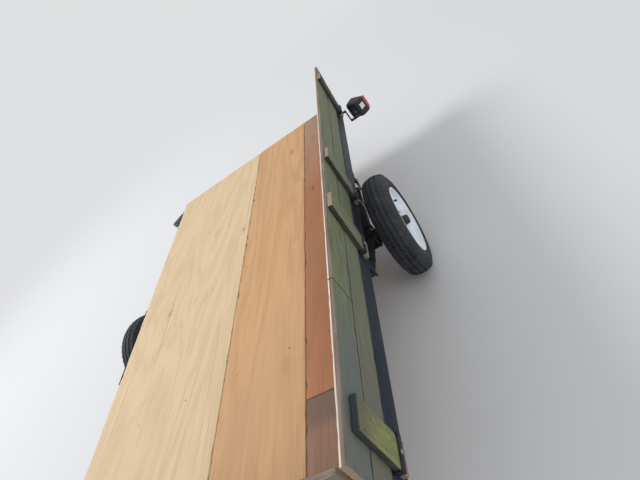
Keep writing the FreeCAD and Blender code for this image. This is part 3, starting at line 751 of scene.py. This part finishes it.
def plank(node, key, seed, slot_name, chip=CHIP, turn=Matrix()):
    """A plank that stands for its node. An upper one is weathered on top, and both are dark with painted shade
    at the gap between them, as the upper side planks are at their butt; an upper side plank has a painted
    highlight on its inner top arris. One of the side is made upright, which turn brings about, and turned back."""
    low, high = solids_of(node, turn)[0]
    grain, kind = ("X", "plank") if node.startswith("side") else ("Y", "board")
    keys = "%s %s_end" % (key, kind)
    piece = board(node + "_board", low, high, grain, keys, node, slot_name, seed, chip)
    upper = "upper" in node
    # An upper plank's top is weathered wood; a lower plank's top, under the gap, is painted shade.
    recover(piece, lambda face: face.normal.z > 0.3, kind + ("_top" if upper else "_shaded"))
    if upper:
        recover(piece, lambda face: face.normal.z < -0.3, kind + "_shaded")
    if upper and kind == "plank":
        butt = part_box("side_plank_upper_front")[0][0]
        recover(piece, lambda face: abs(face.center.x - butt) < 2 * FINE_STEP, "plank_shaded", ends=True)
        # A painted highlight along the inner top arris.
        highlight_edge = low[1] + HIGHLIGHT_ARRIS_REACH
        recover(piece, lambda face: face.normal.z > 0.5 and face.center.y < highlight_edge, "plank_arris_painted_highlight")
    piece.data.transform(turn.inverted())


def make_planks():
    plank("side_plank_lower", "green", 1, "treated_plank", turn=upright())
    plank("side_plank_upper_rear", "green_upper", 2, "treated_plank", 0.0014, upright())
    plank("side_plank_upper_front", "grey", 3, "weathered_plank", 0.0014, upright())
    plank("headboard_plank_lower", "green_across", 4, "treated_plank")
    plank("headboard_plank_upper", "green_across", 5, "treated_plank", 0.004)


def make_stakes():
    """One board per stake. On the side, the rear one is dark with painted shade, and the front one yellow with
    its top end dark with painted shade. The narrow sides of every stake carry painted shade.
    """
    groups = (("side_stakes", 20, upright(), 0), ("headboard_stakes", 30, Matrix(), 1))
    for node, seed, turn, narrow in groups:
        stakes = solids_of(node, turn)
        looks = ["stake_weathered stake_end"] * len(stakes)
        if node == "side_stakes":
            # The rear stake is painted shade all over, and the front stake's top end is painted shade.
            looks[0], looks[-1] = "stake_side stake_end", "stake stake_end_dark"
        for number, ((low, high), keys) in enumerate(zip(stakes, looks), 1):
            name = "%s_board_%d" % (node, number)
            piece = board(name, low, high, "Z", keys, node, "stake_timber", seed + number, 0.003)
            # The narrow sides of each stake get painted shade.
            recover(piece, lambda face: abs(face.normal[narrow]) > 0.8, "stake_side")
            piece.data.transform(turn.inverted())


def break_corner(point):
    """The lost corner of the right-hand sheet, as the CAD outline has it."""
    edge = ((0.0, 0.034), (0.009, 0.026), (0.014, 0.009), (0.027, 0.0))
    for (y1, x1), (y2, x2) in zip(edge, edge[1:]):
        if y1 <= point[1] <= y2:
            limit = x1 + (x2 - x1) * (point[1] - y1) / (y2 - y1)
            point[0] = max(point[0], limit)
    return point


def make_deck():
    """The sheets, with their plies at their edges. The edge behind the side is dark."""
    sheets = (("deck_sheet_right", "ply_light", "plywood_light", break_corner),
              ("deck_sheet_middle", "ply_orange", "plywood_orange", None),
              ("deck_sheet_left", "ply_painted_shade", "plywood_strip", None),
              ("deck_patch_left", "ply_patch", "plywood_strip", None))
    for seed, (node, face, slot_name, cut) in enumerate(sheets, 40):
        low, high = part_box(node)
        keys = face + " ply_edge ply_edge_dark"
        piece = board(node + "_sheet", low, high, "X", keys, node, slot_name, seed, 0.0035, 0.06, cut)
        for polygon in piece.data.polygons:
            if abs(polygon.normal.z) < 0.4 and low[2] + PLY_SKIN < polygon.center.z < high[2] - PLY_SKIN:
                polygon.material_index = 1
            if polygon.normal.y > 0.7 and polygon.center.y > DARK_EDGE_FROM:
                polygon.material_index = 2


# fasteners

def make_nails():
    """Nails through the planks into the stakes, from inside, with their clenched points outside."""
    turn = upright()
    lower, upper, front = [solids_of("side_plank_" + plank, turn)[0]
                           for plank in ("lower", "upper_rear", "upper_front")]
    inner, outer = [corner[1] for corner in lower]
    heads = Builder()
    for stake in solids_of("side_stakes", turn):
        for course in (lower, upper):
            for share, level in ((0.25, 0.3), (0.75, 0.72)):
                x = part_way(stake, 0, share) + random.uniform(-0.006, 0.006)
                z = min(part_way(course, 2, level), stake[1][2] - NAIL_FROM_TOP)
                heads.dome((x, inner + HEAD_SINK, z), (0, -1, 0), *NAIL_HEAD)
                heads.dome((x + 0.01, stake[1][1] - HEAD_SINK, z - 0.014), (0, 1, 0), *NAIL_POINT)
    for end in (lower, front):
        for share in (0.3, 0.7):
            place = (end[1][0] - 0.0095, outer - HEAD_SINK, part_way(end, 2, share))
            heads.dome(place, (0, 1, 0), *NAIL_HEAD)
    heads.make("side_nails", "nail").data.transform(turn.inverted())

    heads = Builder()
    courses = [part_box("headboard_plank_" + course) for course in ("lower", "upper")]
    inner = courses[0][0][0]
    for stake in solids_of("headboard_stakes"):
        for course in courses:
            for share in (0.28, 0.72):
                y = part_way(stake, 1, share)
                z = min(part_way(course, 2, share), stake[1][2] - NAIL_FROM_TOP)
                heads.dome((inner + HEAD_SINK, y, z), (-1, 0, 0), *NAIL_HEAD)
                heads.dome((stake[1][0] - HEAD_SINK, y + 0.008, z - 0.01), (1, 0, 0), *NAIL_POINT)
    heads.make("headboard_nails", "nail")


def make_screws():
    """Screws through the deck, in a row over each rail and a few over each cross member."""
    screws = Builder()
    low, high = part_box("deck_sheet_right")
    top = high[2] - 0.0014
    rear, reach = low[0] + 0.05, high[0] - low[0] - 0.12
    for y in (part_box("rail_right")[1][1] - 0.02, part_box("rail_left")[0][1] + 0.006):
        for n in range(SCREWS_IN_ROW):
            x = rear + reach * n / (SCREWS_IN_ROW - 1) + random.uniform(-0.012, 0.012)
            screws.dome((x, y + random.uniform(-0.005, 0.005), top), (0, 0, 1), *SCREW_HEAD)
    members = solids_of("cross_members_middle") + [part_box("cross_member_front"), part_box("cross_member_rear")]
    board_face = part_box("headboard_plank_lower")[0][0]
    for low, high in members:
        for y in (-0.42, -0.14, 0.1, 0.34, 0.5):
            x = (low[0] + high[0]) / 2 + random.uniform(-0.008, 0.008)
            if x < board_face - 0.004:
                screws.dome((x, y + random.uniform(-0.02, 0.02), top), (0, 0, 1), *SCREW_HEAD)
    screws.make("deck_screws", "nail")


def make_strap_bolts():
    bolts = Builder()
    for low, high in solids_of("stake_pockets_left"):
        x, _, z = middle_of(low, high)
        bolts.dome((x, high[1] - STRAP_SINK, z), (0, 1, 0), *STRAP_BOLT_HEAD)
    for low, high in solids_of("stake_pockets_front"):
        _, y, z = middle_of(low, high)
        bolts.dome((high[0] - STRAP_SINK, y, z), (1, 0, 0), *STRAP_BOLT_HEAD)
    bolts.make("pocket_bolts", "nut")


# frame

def make_frame():
    """CAD nodes with their edges eased: slot, materials, and the width of the easing for each node."""
    pieces = (
        ("frame_paint", "frame frame_edge", {
            "rail_left": 0.0016, "rail_right": 0.0016, "cross_member_front": 0.0014,
            "cross_member_rear": 0.0014, "cross_members_middle": 0.0014, "stake_pockets_left": 0.001,
            "stake_pockets_right": 0.001, "stake_pockets_front": 0.001, "tongue": 0.003,
            "tongue_braces": 0.0014, "axle": 0.003, "spring_hangers": 0.001, "lamp_brackets": 0.0014}),
        ("spring_steel", "spring", {"leaf_springs": 0.0008, "shackles": 0.0008, "axle_clamps": 0.0008}),
        ("zinc_plate", "zinc", {"coupler": 0.0012, "jack_tube": 0.0008, "jack_bracket": 0.0012,
                                "jack_leg": 0.0012}),
        ("lever_steel", "lever", {"coupler_lever": 0.0012, "jack_crank": 0.0012}))
    for slot_name, keys, widths in pieces:
        for node, width in widths.items():
            eased(node, keys, width, slot_name, "jack_foot" if node == "jack_leg" else TRAILER)


def line_points(start, end, step=0.0012):
    start, end = Vector(start), Vector(end)
    count = max(2, int((end - start).length / step))
    return [start.lerp(end, n / count) for n in range(count + 1)]


def make_welds():
    """Beads where cross members, pockets, hangers, braces and tongue meet what carries them."""
    beads = Builder()

    def bead(start, end, radius):
        points = []
        for p in line_points(start, end):
            wander = [noise.noise(p * 60 + Vector(shift)) for shift in ((0, 0, 0), (9, 0, 0), (0, 9, 0))]
            points.append(p + Vector(wander) * BEAD_WANDER)
        beads.sweep(points, radius, 8, *BEAD_RIPPLE)

    def upward(x, y, bottom, top, radius=THIN_BEAD):
        bead((x, y, bottom), (x, y, top), radius)

    def forward(rear, front, y, z, radius=BEAD):
        bead((rear, y, z), (front, y, z), radius)

    rail_low, rail_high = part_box("rail_left")
    inner, outer, rail_top = rail_low[1], rail_high[1], rail_high[2] - 0.001
    middle_members = solids_of("cross_members_middle")
    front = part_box("cross_member_front")
    for low, high in middle_members + [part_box("cross_member_rear"), front]:
        web = high[0] + BEAD_ASIDE if low[0] > 0.7 else low[0] - BEAD_ASIDE
        for way in WAYS:
            upward(web, way * inner, low[2] + 0.006, high[2] - 0.004, BEAD)
            forward(low[0] + 0.003, high[0] - 0.003, way * inner, low[2] - 0.0004)
    for node, way in (("stake_pockets_left", 1), ("stake_pockets_right", -1)):
        for low, high in solids_of(node):
            for x in (low[0] - BEAD_ASIDE, high[0] + BEAD_ASIDE):
                upward(x, outer * way, low[2] + 0.001, rail_top)
    for low, high in solids_of("stake_pockets_front"):
        for y in (low[1] - BEAD_ASIDE, high[1] + BEAD_ASIDE):
            upward(front[1][0], y, low[2] + 0.001, front[1][2] - 0.001)
    _, edge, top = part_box("tongue")[1]
    top += BEAD_LIFT
    for low, high in (middle_members[-1], front):
        for way in WAYS:
            forward(low[0] + 0.002, high[0] - 0.002, way * edge, top, TONGUE_BEAD)
    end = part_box("tongue_braces")[1][0]
    for way in WAYS:
        forward(end - 0.045, end - 0.004, way * edge, top)
    for low, high in solids_of("spring_hangers"):
        for y in (max(low[1], -outer) + 0.002, min(high[1], outer) - 0.002):
            if abs(y) > inner - 0.01:
                forward(low[0] + 0.003, high[0] - 0.003, y, high[2] - 0.0052, THIN_BEAD)
    beads.make("weld_beads", "weld")


# wheels

def wheel_ring(build, centre, sign, turn, points):
    """A ring of points, each (across, radius), at a turn about the wheel's axis."""
    return build.ring((centre[0] + r * math.sin(turn), centre[1] + y * sign, centre[2] + r * math.cos(turn))
                      for y, r in points)


def wave(turn):
    """A zigzag from -1 to 1 that repeats each full turn of its period."""
    return 4 * abs(turn % 1.0 - 0.5) - 1


def tread_columns(tread_half):
    """The tread's points across: place, depth, how far it follows the zigzag, and how far it is notched."""
    columns = []
    for groove in GROOVES:
        mid = groove * tread_half
        for offset, depth in ((-GROOVE_HALF - GROOVE_SLOPE, 0.0), (-GROOVE_HALF, GROOVE_DEPTH),
                              (GROOVE_HALF, GROOVE_DEPTH), (GROOVE_HALF + GROOVE_SLOPE, 0.0)):
            columns.append((mid + offset, depth, 1.0, 0.0))
    columns += [(rib * tread_half, 0.0, 0.3, 0.0) for rib in RIBS]
    for way in WAYS:
        columns += [(way * share * tread_half, 0.0, 0.0, notch) for share, notch in SHOULDER]
    return sorted(columns)


def make_tyre(side, sign):
    """A road tyre: four ribs between zigzag grooves, notched shoulders, ringed walls and its beads."""
    node = "tyre_" + side
    low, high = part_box(node)
    centre = middle_of(low, high)
    radius = (high[2] - low[2]) / 2
    half = (high[1] - low[1]) / 2
    tread_half = TREAD_SHARE * half
    widest = (BEAD_RADIUS + radius) / 2 - 0.004
    columns = tread_columns(tread_half)
    wall_start = Vector((tread_half, radius - TREAD_CROWN))
    wall_finish = Vector((BEAD_HALF, BEAD_RADIUS + 0.0135))
    handle = 2 * Vector((half - 0.0012, widest)) - 0.5 * (wall_start + wall_finish)

    def wall_point(share):
        """From the tread's edge at 0, out through the widest place, to the top of the bead at 1."""
        point = (1 - share) ** 2 * wall_start + 2 * share * (1 - share) * handle + share ** 2 * wall_finish
        lift = sum(height * math.exp(-((share - place) / 0.016) ** 2) for place, height in WALL_RINGS)
        out = (point - Vector((0.0, widest))).normalized()
        return point + out * (lift - 0.0016)

    wall = [(n / WALL_STEPS, *wall_point(n / WALL_STEPS)) for n in range(1, WALL_STEPS + 1)]
    lining = [(BEAD_HALF, BEAD_RADIUS), (BEAD_HALF - 0.012, BEAD_RADIUS), (half * 0.62, widest),
              (-half * 0.62, widest), (0.012 - BEAD_HALF, BEAD_RADIUS), (-BEAD_HALF, BEAD_RADIUS)]
    count = TREAD_PERIODS * TREAD_STEPS
    build = Builder()
    rings = []
    for step in range(count):
        zigzag = ZIGZAG * wave(step / TREAD_STEPS)
        notched = step % TREAD_STEPS in (0, 1)
        sides = [(y, r - (WALL_NOTCH if notched and share < 0.12 else 0.0)) for share, y, r in wall]
        tread = []
        for y, depth, follow, notch in columns:
            bow = TREAD_CROWN * (y / tread_half) ** 2
            cut = depth + (NOTCH_DEPTH * notch if notched else 0.0)
            tread.append((y + follow * zigzag, radius - bow - cut - TREAD_SINK))
        points = [(-y, r) for y, r in reversed(sides)] + tread + sides + lining
        rings.append(wheel_ring(build, centre, sign, 2 * math.pi * step / count, points))
    build.skin(rings, closed=True)
    build.make("tyre_tread_" + side, "rubber", node, "tyre_rubber", "wheel_" + side, 32.0)


def smooth_profile(points):
    """Rounds the corners of an open profile by cutting them twice, keeping its two ends."""
    for _ in range(2):
        cut = [points[0]]
        for (y1, r1), (y2, r2) in zip(points, points[1:]):
            for near in (1 - CORNER_CUT, CORNER_CUT):
                cut.append((y1 * near + y2 * (1 - near), r1 * near + r2 * (1 - near)))
        points = cut + [points[-1]]
    return points


def lathe(points, centre, sign):
    """A closed ring about the wheel's axis from a closed profile of (across, radius) points."""
    build = Builder()
    build.skin([wheel_ring(build, centre, sign, 2 * math.pi * step / LATHE_STEPS, points)
                for step in range(LATHE_STEPS)], closed=True)
    return build


def drill(disc, centre, sign):
    """Cuts the stud holes and the hand holes: their number, circle and radius and the first one's turn."""
    cutters = Builder()
    for count, circle, radius, first in ((LUG_COUNT, LUG_CIRCLE, LUG_HOLE, 0.0), HAND_HOLES):
        for n in range(count):
            turn = first + 2 * math.pi * n / count
            x, z = centre[0] + circle * math.sin(turn), centre[2] + circle * math.cos(turn)
            cutters.rod((x, centre[1] - 0.03 * sign, z), (x, centre[1] + 0.06 * sign, z), radius, 24)
    holes = linked("holes", cutters.mesh("holes"))
    cut = disc.modifiers.new("holes", "BOOLEAN")
    cut.object = holes
    cut.operation = "DIFFERENCE"
    cut.solver = "EXACT"
    baked(disc, 40.0)
    bpy.data.objects.remove(holes)


def make_rim(side, sign):
    """The pressed wheel: a rolled barrel, a disc with a raised ring and holes, and the valve."""
    node, body = "rim_" + side, "wheel_" + side
    low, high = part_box(node)
    centre = middle_of(low, high)
    half = (high[1] - low[1]) / 2
    seat, well = half - 0.025, half - 0.036
    outer = [(half, RIM_LIP), (half - 0.0028, RIM_LIP), (half - 0.003, 0.154), (half - 0.006, RIM_SEAT),
             (seat, RIM_SEAT - 0.001), (well, RIM_WELL)]
    inner = [(half, RIM_SEAT - RIM_WALL), (seat + 0.001, RIM_SEAT - 0.004),
             (well + 0.001, RIM_WELL - 0.0031)]
    barrel = smooth_profile([(-y, r) for y, r in outer] + outer[::-1])
    barrel += smooth_profile(inner + [(-y, r) for y, r in reversed(inner)])
    lathe(barrel, centre, sign).make("rim_barrel_" + side, "rim", node, "rim_paint", body, 60.0)

    front = smooth_profile([(DISC_FACE, 0.033), (DISC_FACE, 0.07), (DISC_FACE + 0.004, 0.077),
                            (DISC_CROWN - 0.002, 0.09), (DISC_CROWN, 0.097), (DISC_CROWN - 0.001, 0.108),
                            (DISC_FACE + 0.006, 0.124), (DISC_FACE - 0.002, 0.1312)])
    pressed = front + [(y - DISC_WALL, r) for y, r in reversed(front)]
    disc = lathe(pressed, centre, sign).make("rim_disc_" + side, "rim", node, "rim_paint", body, 50.0)
    drill(disc, centre, sign)

    valve = Builder()
    start = (centre[0] + 0.02, centre[1] + 0.03 * sign, centre[2] + 0.1415)
    valve.turned([(0, 0), (0, 0.0072), (0.006, 0.0062), (0.012, 0.0042), (0.026, 0.004), (0.027, 0.0046),
                  (0.036, 0.0046), (0.037, 0)], start, (0, 0.94 * sign, -0.34))
    valve.make("tyre_valve_" + side, "grip", body=body)


def make_hub(side, sign):
    """The bearing hub and grease cap, its threaded studs and the nuts on them."""
    node, body = "hub_" + side, "wheel_" + side
    start = Vector(middle_of(*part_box("rim_" + side)))
    low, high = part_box(node)
    inner, tip = sorted((end[1] - start[1]) * sign for end in (low, high))
    way = (0, sign, 0)
    build = Builder()
    build.turned([(inner, 0.0132), (inner, 0.025), (inner + 0.004, 0.027), (-0.012, 0.029),
                  (-0.0005, 0.031), (-0.0005, 0.071), (0.0005, 0.072), (0.0075, 0.072), (0.0085, 0.071),
                  (0.0085, 0.032), (0.0095, 0.031), (0.029, 0.031), (0.0305, 0.0295), (0.0305, 0.0)],
                 start, way, 64)
    build.turned([(0.0295, 0.0), (0.0295, 0.0245), (0.0305, 0.0252), (0.0325, 0.0252), (0.0335, 0.0238),
                  (0.035, 0.0228), (tip - 0.006, 0.0216), (tip - 0.0025, 0.0196), (tip - 0.0008, 0.0165),
                  (tip - 0.0008, 0.006), (tip - 0.0016, 0.0)], start, way, 48)
    build.make("hub_body_" + side, "hub", node, "hub_iron", body, 40.0)

    thread = [(0.004, 0.0)]
    along = 0.004
    while along < 0.0285:
        thread += [(along, 0.0052), (along + THREAD_PITCH / 2, 0.0059)]
        along += THREAD_PITCH
    thread += [(0.0298, 0.005), (0.0305, 0.0)]
    nut = [(0.0, 0.0061), (0.0, 0.008), (0.003, 0.0104), (0.0105, 0.0109), (0.012, 0.0092), (0.012, 0.0061),
           (0.0, 0.0061)]
    studs = Builder()
    nuts = Builder()
    for n in range(LUG_COUNT):
        turn = 2 * math.pi * n / LUG_COUNT
        place = start + LUG_CIRCLE * Vector((math.sin(turn), 0, math.cos(turn)))
        studs.turned(thread, place, way, 14)
        spin = Matrix.Rotation(0.7 * n, 3, Vector(way))
        seat = place + Vector(way) * 0.012
        first = len(nuts.bm.verts)
        nuts.turned(nut, seat, way, 6)
        nuts.bm.verts.ensure_lookup_table()
        for vert in nuts.bm.verts[first:]:
            vert.co = seat + spin @ (vert.co - seat)
    studs.make("wheel_studs_" + side, "nut", body=body)
    nuts.make("wheel_nuts_" + side, "nut", "lug_nuts_" + side, "nut_steel", body, 25.0)


# tail lamps

def lamp_case(name, low, high):
    """The housing, smaller and rounder towards its front, with two bolt bosses and the cable's nipple."""
    case = Builder()
    rings = []
    for x, inset in CASE_ROWS:
        ring = []
        y1, y2 = low[1] + inset + CASE_CORNER, high[1] - inset - CASE_CORNER
        z1, z2 = low[2] + inset + CASE_CORNER, high[2] - inset - CASE_CORNER
        for y, z, first in ((y2, z2, 0.0), (y1, z2, 0.5), (y1, z1, 1.0), (y2, z1, 1.5)):
            for k in range(CASE_CORNER_STEPS + 1):
                t = math.pi * (first + 0.5 * k / CASE_CORNER_STEPS)
                ring.append((low[0] + x, y + CASE_CORNER * math.cos(t), z + CASE_CORNER * math.sin(t)))
        rings.append(case.ring(ring))
    case.skin(rings)
    case.bm.faces.new(rings[0])
    case.bm.faces.new(rings[-1])
    _, y, z = middle_of(low, high)
    front = high[0] - 0.0018
    boss = [(0, 0.011), (0.003, 0.0105), (0.0032, 0.0)]
    nipple = [(0, 0.009), (0.006, 0.0075), (0.008, 0.006), (0.008, 0.0)]
    for way in WAYS:
        case.turned(boss, (front, y + way * CASE_BOLT_ASIDE, z), (1, 0, 0), 24)
    case.turned(nipple, (front, y, z - 0.026), (1, 0, 0), 24)
    nuts = Builder()
    for way in WAYS:
        nuts.hexagon((high[0] + 0.001, y + way * CASE_BOLT_ASIDE, z), (1, 0, 0), 0.0095, 0.005)
    return (case.make("lamp_case_" + name, "lamp", "lamp_housings", "lamp_black", angle=42.0),
            nuts.make("lamp_nuts_" + name, "nut"))


def lamp_lens(name, low, high, case_middle):
    """The red lens, with a rounded rim, upright flutes and a plain band across, and its two screws."""
    glass = Builder()
    thickness, width, height = [b - a for a, b in zip(low, high)]
    grid = []
    for i in range(LENS_COLUMNS + 1):
        line = []
        for j in range(LENS_LINES + 1):
            edge = min(min(i, LENS_COLUMNS - i) / LENS_COLUMNS * width,
                       min(j, LENS_LINES - j) / LENS_LINES * height)
            x = low[0] + 0.0006 + thickness * 0.9 * (1 - min(1.0, edge / LENS_EDGE)) ** 2.2
            band = abs(j / LENS_LINES - 0.5) < LENS_BAND[0]
            if edge > LENS_RIM and band:
                x += LENS_BAND[1]
            if edge >= LENS_RIM and not band:
                x += LENS_FLUTE * (i % 2)
            line.append((x, low[1] + width * i / LENS_COLUMNS, low[2] + height * j / LENS_LINES))
        grid.append(glass.ring(line))
    for near, far in zip(grid, grid[1:]):
        for j in range(LENS_LINES):
            glass.bm.faces.new((near[j], far[j], far[j + 1], near[j + 1]))
    border = [line[0] for line in grid[:-1]] + grid[-1][:-1]
    border += [line[-1] for line in reversed(grid[1:])] + grid[0][:0:-1]
    back = glass.ring((high[0], v.co.y, v.co.z) for v in border)
    glass.bridge(border, back)
    glass.bm.faces.new(back)
    screws = Builder()
    for way in WAYS:
        place = (low[0] + 0.0026, case_middle[1] + way * LENS_SCREW_ASIDE, case_middle[2])
        screws.dome(place, (-1, 0, 0), *LENS_SCREW_HEAD)
    return (glass.make("lamp_red_lens_" + name, "red", "lamp_lenses", "lens_red", angle=35.0),
            screws.make("lamp_screws_" + name, "nut"))


def lamp_window(name, side, low, high, case_low, case_high):
    """The clear window in the outer wall of the case, with ribs across it."""
    pane = Builder()
    face = high[1] if side > 0 else low[1]
    root = case_high[1] - 0.001 if side > 0 else case_low[1] + 0.001
    section = []
    for n in range(WINDOW_RIBS * 2 + 1):
        x = low[0] + (high[0] - low[0]) * n / (WINDOW_RIBS * 2)
        section.append((x, face - side * (0.0009 if n % 2 else 0.0002)))
    section += [(high[0], root), (low[0], root)]
    lower, upper = [pane.ring((x, y, z) for x, y in section) for z in (low[2], high[2])]
    pane.bridge(lower, upper)
    pane.bm.faces.new(lower)
    pane.bm.faces.new(upper)
    return pane.make("lamp_clear_window_" + name, "clear", "lamp_windows", "lens_clear", angle=None)


def make_lamps():
    """Each lamp is made straight, with its lens to the rear, and turned back to where its solids stand."""
    for name, side in SIDES:
        straight = Matrix.Rotation(LAMP_TURN * side, 4, "Z")
        case, red, window = [max(solids_of(node, straight), key=lambda box: side * box[0][1])
                             for node in ("lamp_housings", "lamp_lenses", "lamp_windows")]
        pieces = [*lamp_case(name, *case), *lamp_lens(name, *red, middle_of(*case)),
                  lamp_window(name, side, *window, *case)]
        for piece in pieces:
            piece.data.transform(straight.inverted())


# tongue, coupler, jack and springs

def make_bolts():
    """Bolts of the coupler, U bolts of the jack bracket, and the nuts of the springs."""
    bolts = Builder()
    low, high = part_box("coupler")
    for x in (low[0] + 0.035, low[0] + 0.115):
        for way in WAYS:
            bolts.bolt((x, way * (high[1] - 0.0001), high[2] - 0.03), (0, way, 0), 0.019)
    low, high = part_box("tongue")
    plate_low, plate_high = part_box("jack_bracket")
    face = high[1] + 0.008
    top, bottom, back = high[2] + 0.0055, low[2] - 0.0055, low[1] - 0.0052
    corner = 0.004
    for x in (plate_low[0] + 0.012, plate_high[0] - 0.012):
        legs = (((face + 0.006, top), (back + corner, top)), ((back, top - corner), (back, bottom + corner)),
                ((back + corner, bottom), (face + 0.006, bottom)))
        path = [place for start, end in legs for place in line_points((x, *start), (x, *end), 0.01)]
        bolts.sweep(path, 0.005, 12)
        for z in (top, bottom):
            bolts.bolt((x, face - 0.0003, z), (0, 1, 0), 0.015)
    for low, high in solids_of("axle_clamps"):
        x = (low[0] + high[0]) / 2
        for aside in (-0.032, 0.032):
            for y in (low[1] + 0.01, high[1] - 0.01):
                bolts.hexagon((x + aside, y, low[2] + 0.0098), (0, 0, -1), 0.0165, 0.0075)
    for low, high in solids_of("spring_hangers"):
        x = (low[0] + high[0]) / 2
        for way, y in ((-1, low[1] + 0.0078), (1, high[1] - 0.0078)):
            bolts.hexagon((x, y, low[2] + 0.014), (0, way, 0), 0.021, 0.0085)
    bolts.make("steel_bolts", "nut")


def make_jack_details():
    """The ribbed grip of the crank, and the rings on the tube."""
    grip = Builder()
    low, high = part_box("jack_crank")
    height = high[2] - low[2]
    profile = [(0.0, 0.0), (0.0, 0.0118)]
    for n in range(9):
        along = 0.006 + n * (height - 0.012) / 9
        profile += [(along, 0.0126), (along + 0.002, 0.0134), (along + 0.004, 0.0126)]
    profile += [(height - 0.003, 0.0124), (height, 0.009), (height, 0.0)]
    grip.turned(profile, (low[0] + 0.012, (low[1] + high[1]) / 2, low[2]), (0, 0, 1), 24)
    grip.make("crank_grip", "grip")

    rings = Builder()
    low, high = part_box("jack_tube")
    x, y, _ = middle_of(low, high)
    for level, outer in ((low[2] + 0.001, 0.0295), (high[2] - 0.045, 0.0325), (high[2] - 0.024, 0.0325)):
        rings.turned([(0, 0.0279), (0, outer), (0.002, outer + 0.0006), (0.005, outer + 0.0006),
                      (0.007, outer), (0.007, 0.0279), (0, 0.0279)], (x, y, level), (0, 0, 1), 40)
    rings.make("jack_rings", "zinc")


def make_bent_wire():
    """The short bright stub of bent wire that hangs from under the left rail, beside the tyre."""
    low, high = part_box("rail_left")
    corner = Vector((middle_of(*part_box("tyre_left"))[0], high[1], low[2]))
    offsets = ((-0.13, -0.005, 0.001), (-0.1315, 0.0, -0.017), (-0.1295, 0.002, -0.036),
               (-0.1065, 0.008, -0.049), (-0.0775, 0.012, -0.0634), (-0.0685, 0.014, -0.085),
               (-0.0975, 0.018, -0.113))
    wire = Builder()
    wire.sweep([corner + Vector(offset) for offset in offsets], 0.0028, 10)
    wire.make("bent_wire", "wire")


# stage

def make_floor():
    """A pale floor that fades into the background."""
    mesh = bpy.data.meshes.new("floor")
    corners = [(x * FLOOR_REACH, y * FLOOR_REACH, 0) for x, y in ((-1, -1), (1, -1), (1, 1), (-1, 1))]
    mesh.from_pydata(corners, [], [(0, 1, 2, 3)])
    n = Nodes("floor_pale")
    mesh.materials.append(n.finish(FLOOR_COLOUR, 0.9, Specular_IOR_Level=0.1))
    away = n.node("ShaderNodeVectorMath", {0: n.coords()}, "Value", operation="LENGTH")
    glow = n.node("ShaderNodeEmission", {"Color": colour4(BACKGROUND), "Strength": 1.0})
    n.surface("Material Output", n.fade(away, *FLOOR_FADE), Value(n, n.shader().outputs[0]), glow)
    linked("floor", mesh)


def make_world():
    """A soft sky on the object, and the plain background where the camera or a reflection sees past it."""
    n = Nodes("studio", kind="worlds")
    bpy.context.scene.world = n.owner
    sky, plain = [n.node("ShaderNodeBackground", {"Color": colour4(colour), "Strength": strength})
                  for colour, strength in ((SKY, SKY_STRENGTH), (BACKGROUND, 1.0))]
    camera, glossy, through = [n.node("ShaderNodeLightPath", {}, "Is %s Ray" % kind)
                               for kind in ("Camera", "Glossy", "Transmission")]
    n.surface("World Output", camera + glossy + through, sky, plain)


def make_lights():
    for name, place, size, power in LIGHTS:
        lamp = bpy.data.lights.new(name, "AREA")
        lamp.shape = "DISK"
        lamp.size = size
        lamp.energy = power
        holder = linked(name, lamp)
        holder.location = place
        holder.rotation_euler = (LIGHT_AIM - Vector(place)).to_track_quat("-Z", "Y").to_euler()


def make_camera():
    forward = Vector((-math.cos(CAMERA_PITCH) * math.cos(CAMERA_YAW),
                      math.cos(CAMERA_PITCH) * math.sin(CAMERA_YAW), -math.sin(CAMERA_PITCH)))
    level = forward.cross(Vector((0, 0, 1))).normalized()
    plumb = level.cross(forward)
    right = math.cos(CAMERA_ROLL) * level + math.sin(CAMERA_ROLL) * plumb
    up = -math.sin(CAMERA_ROLL) * level + math.cos(CAMERA_ROLL) * plumb
    data = bpy.data.cameras.new("camera")
    data.sensor_fit = "HORIZONTAL"
    data.sensor_width = SENSOR_WIDTH
    data.lens = CAMERA_FOCAL_PX / IMAGE_WIDTH_PX * SENSOR_WIDTH
    data.clip_start = CLIP_START
    data.clip_end = CLIP_END
    camera = linked("camera", data)
    turn = Matrix((right, up, -forward)).transposed()
    camera.matrix_world = Matrix.Translation(CAMERA_PLACE) @ turn.to_4x4()
    bpy.context.scene.camera = camera


random.seed(5)
make_camera()
make_floor()
make_world()
make_lights()
make_deck()
make_planks()
make_stakes()
make_nails()
make_screws()
make_strap_bolts()
make_frame()
make_welds()
for wheel_side, wheel_sign in SIDES:
    make_tyre(wheel_side, wheel_sign)
    make_rim(wheel_side, wheel_sign)
    make_hub(wheel_side, wheel_sign)
make_lamps()
make_bolts()
make_jack_details()
make_bent_wire()

bpy.context.scene.view_settings.view_transform = "Standard"
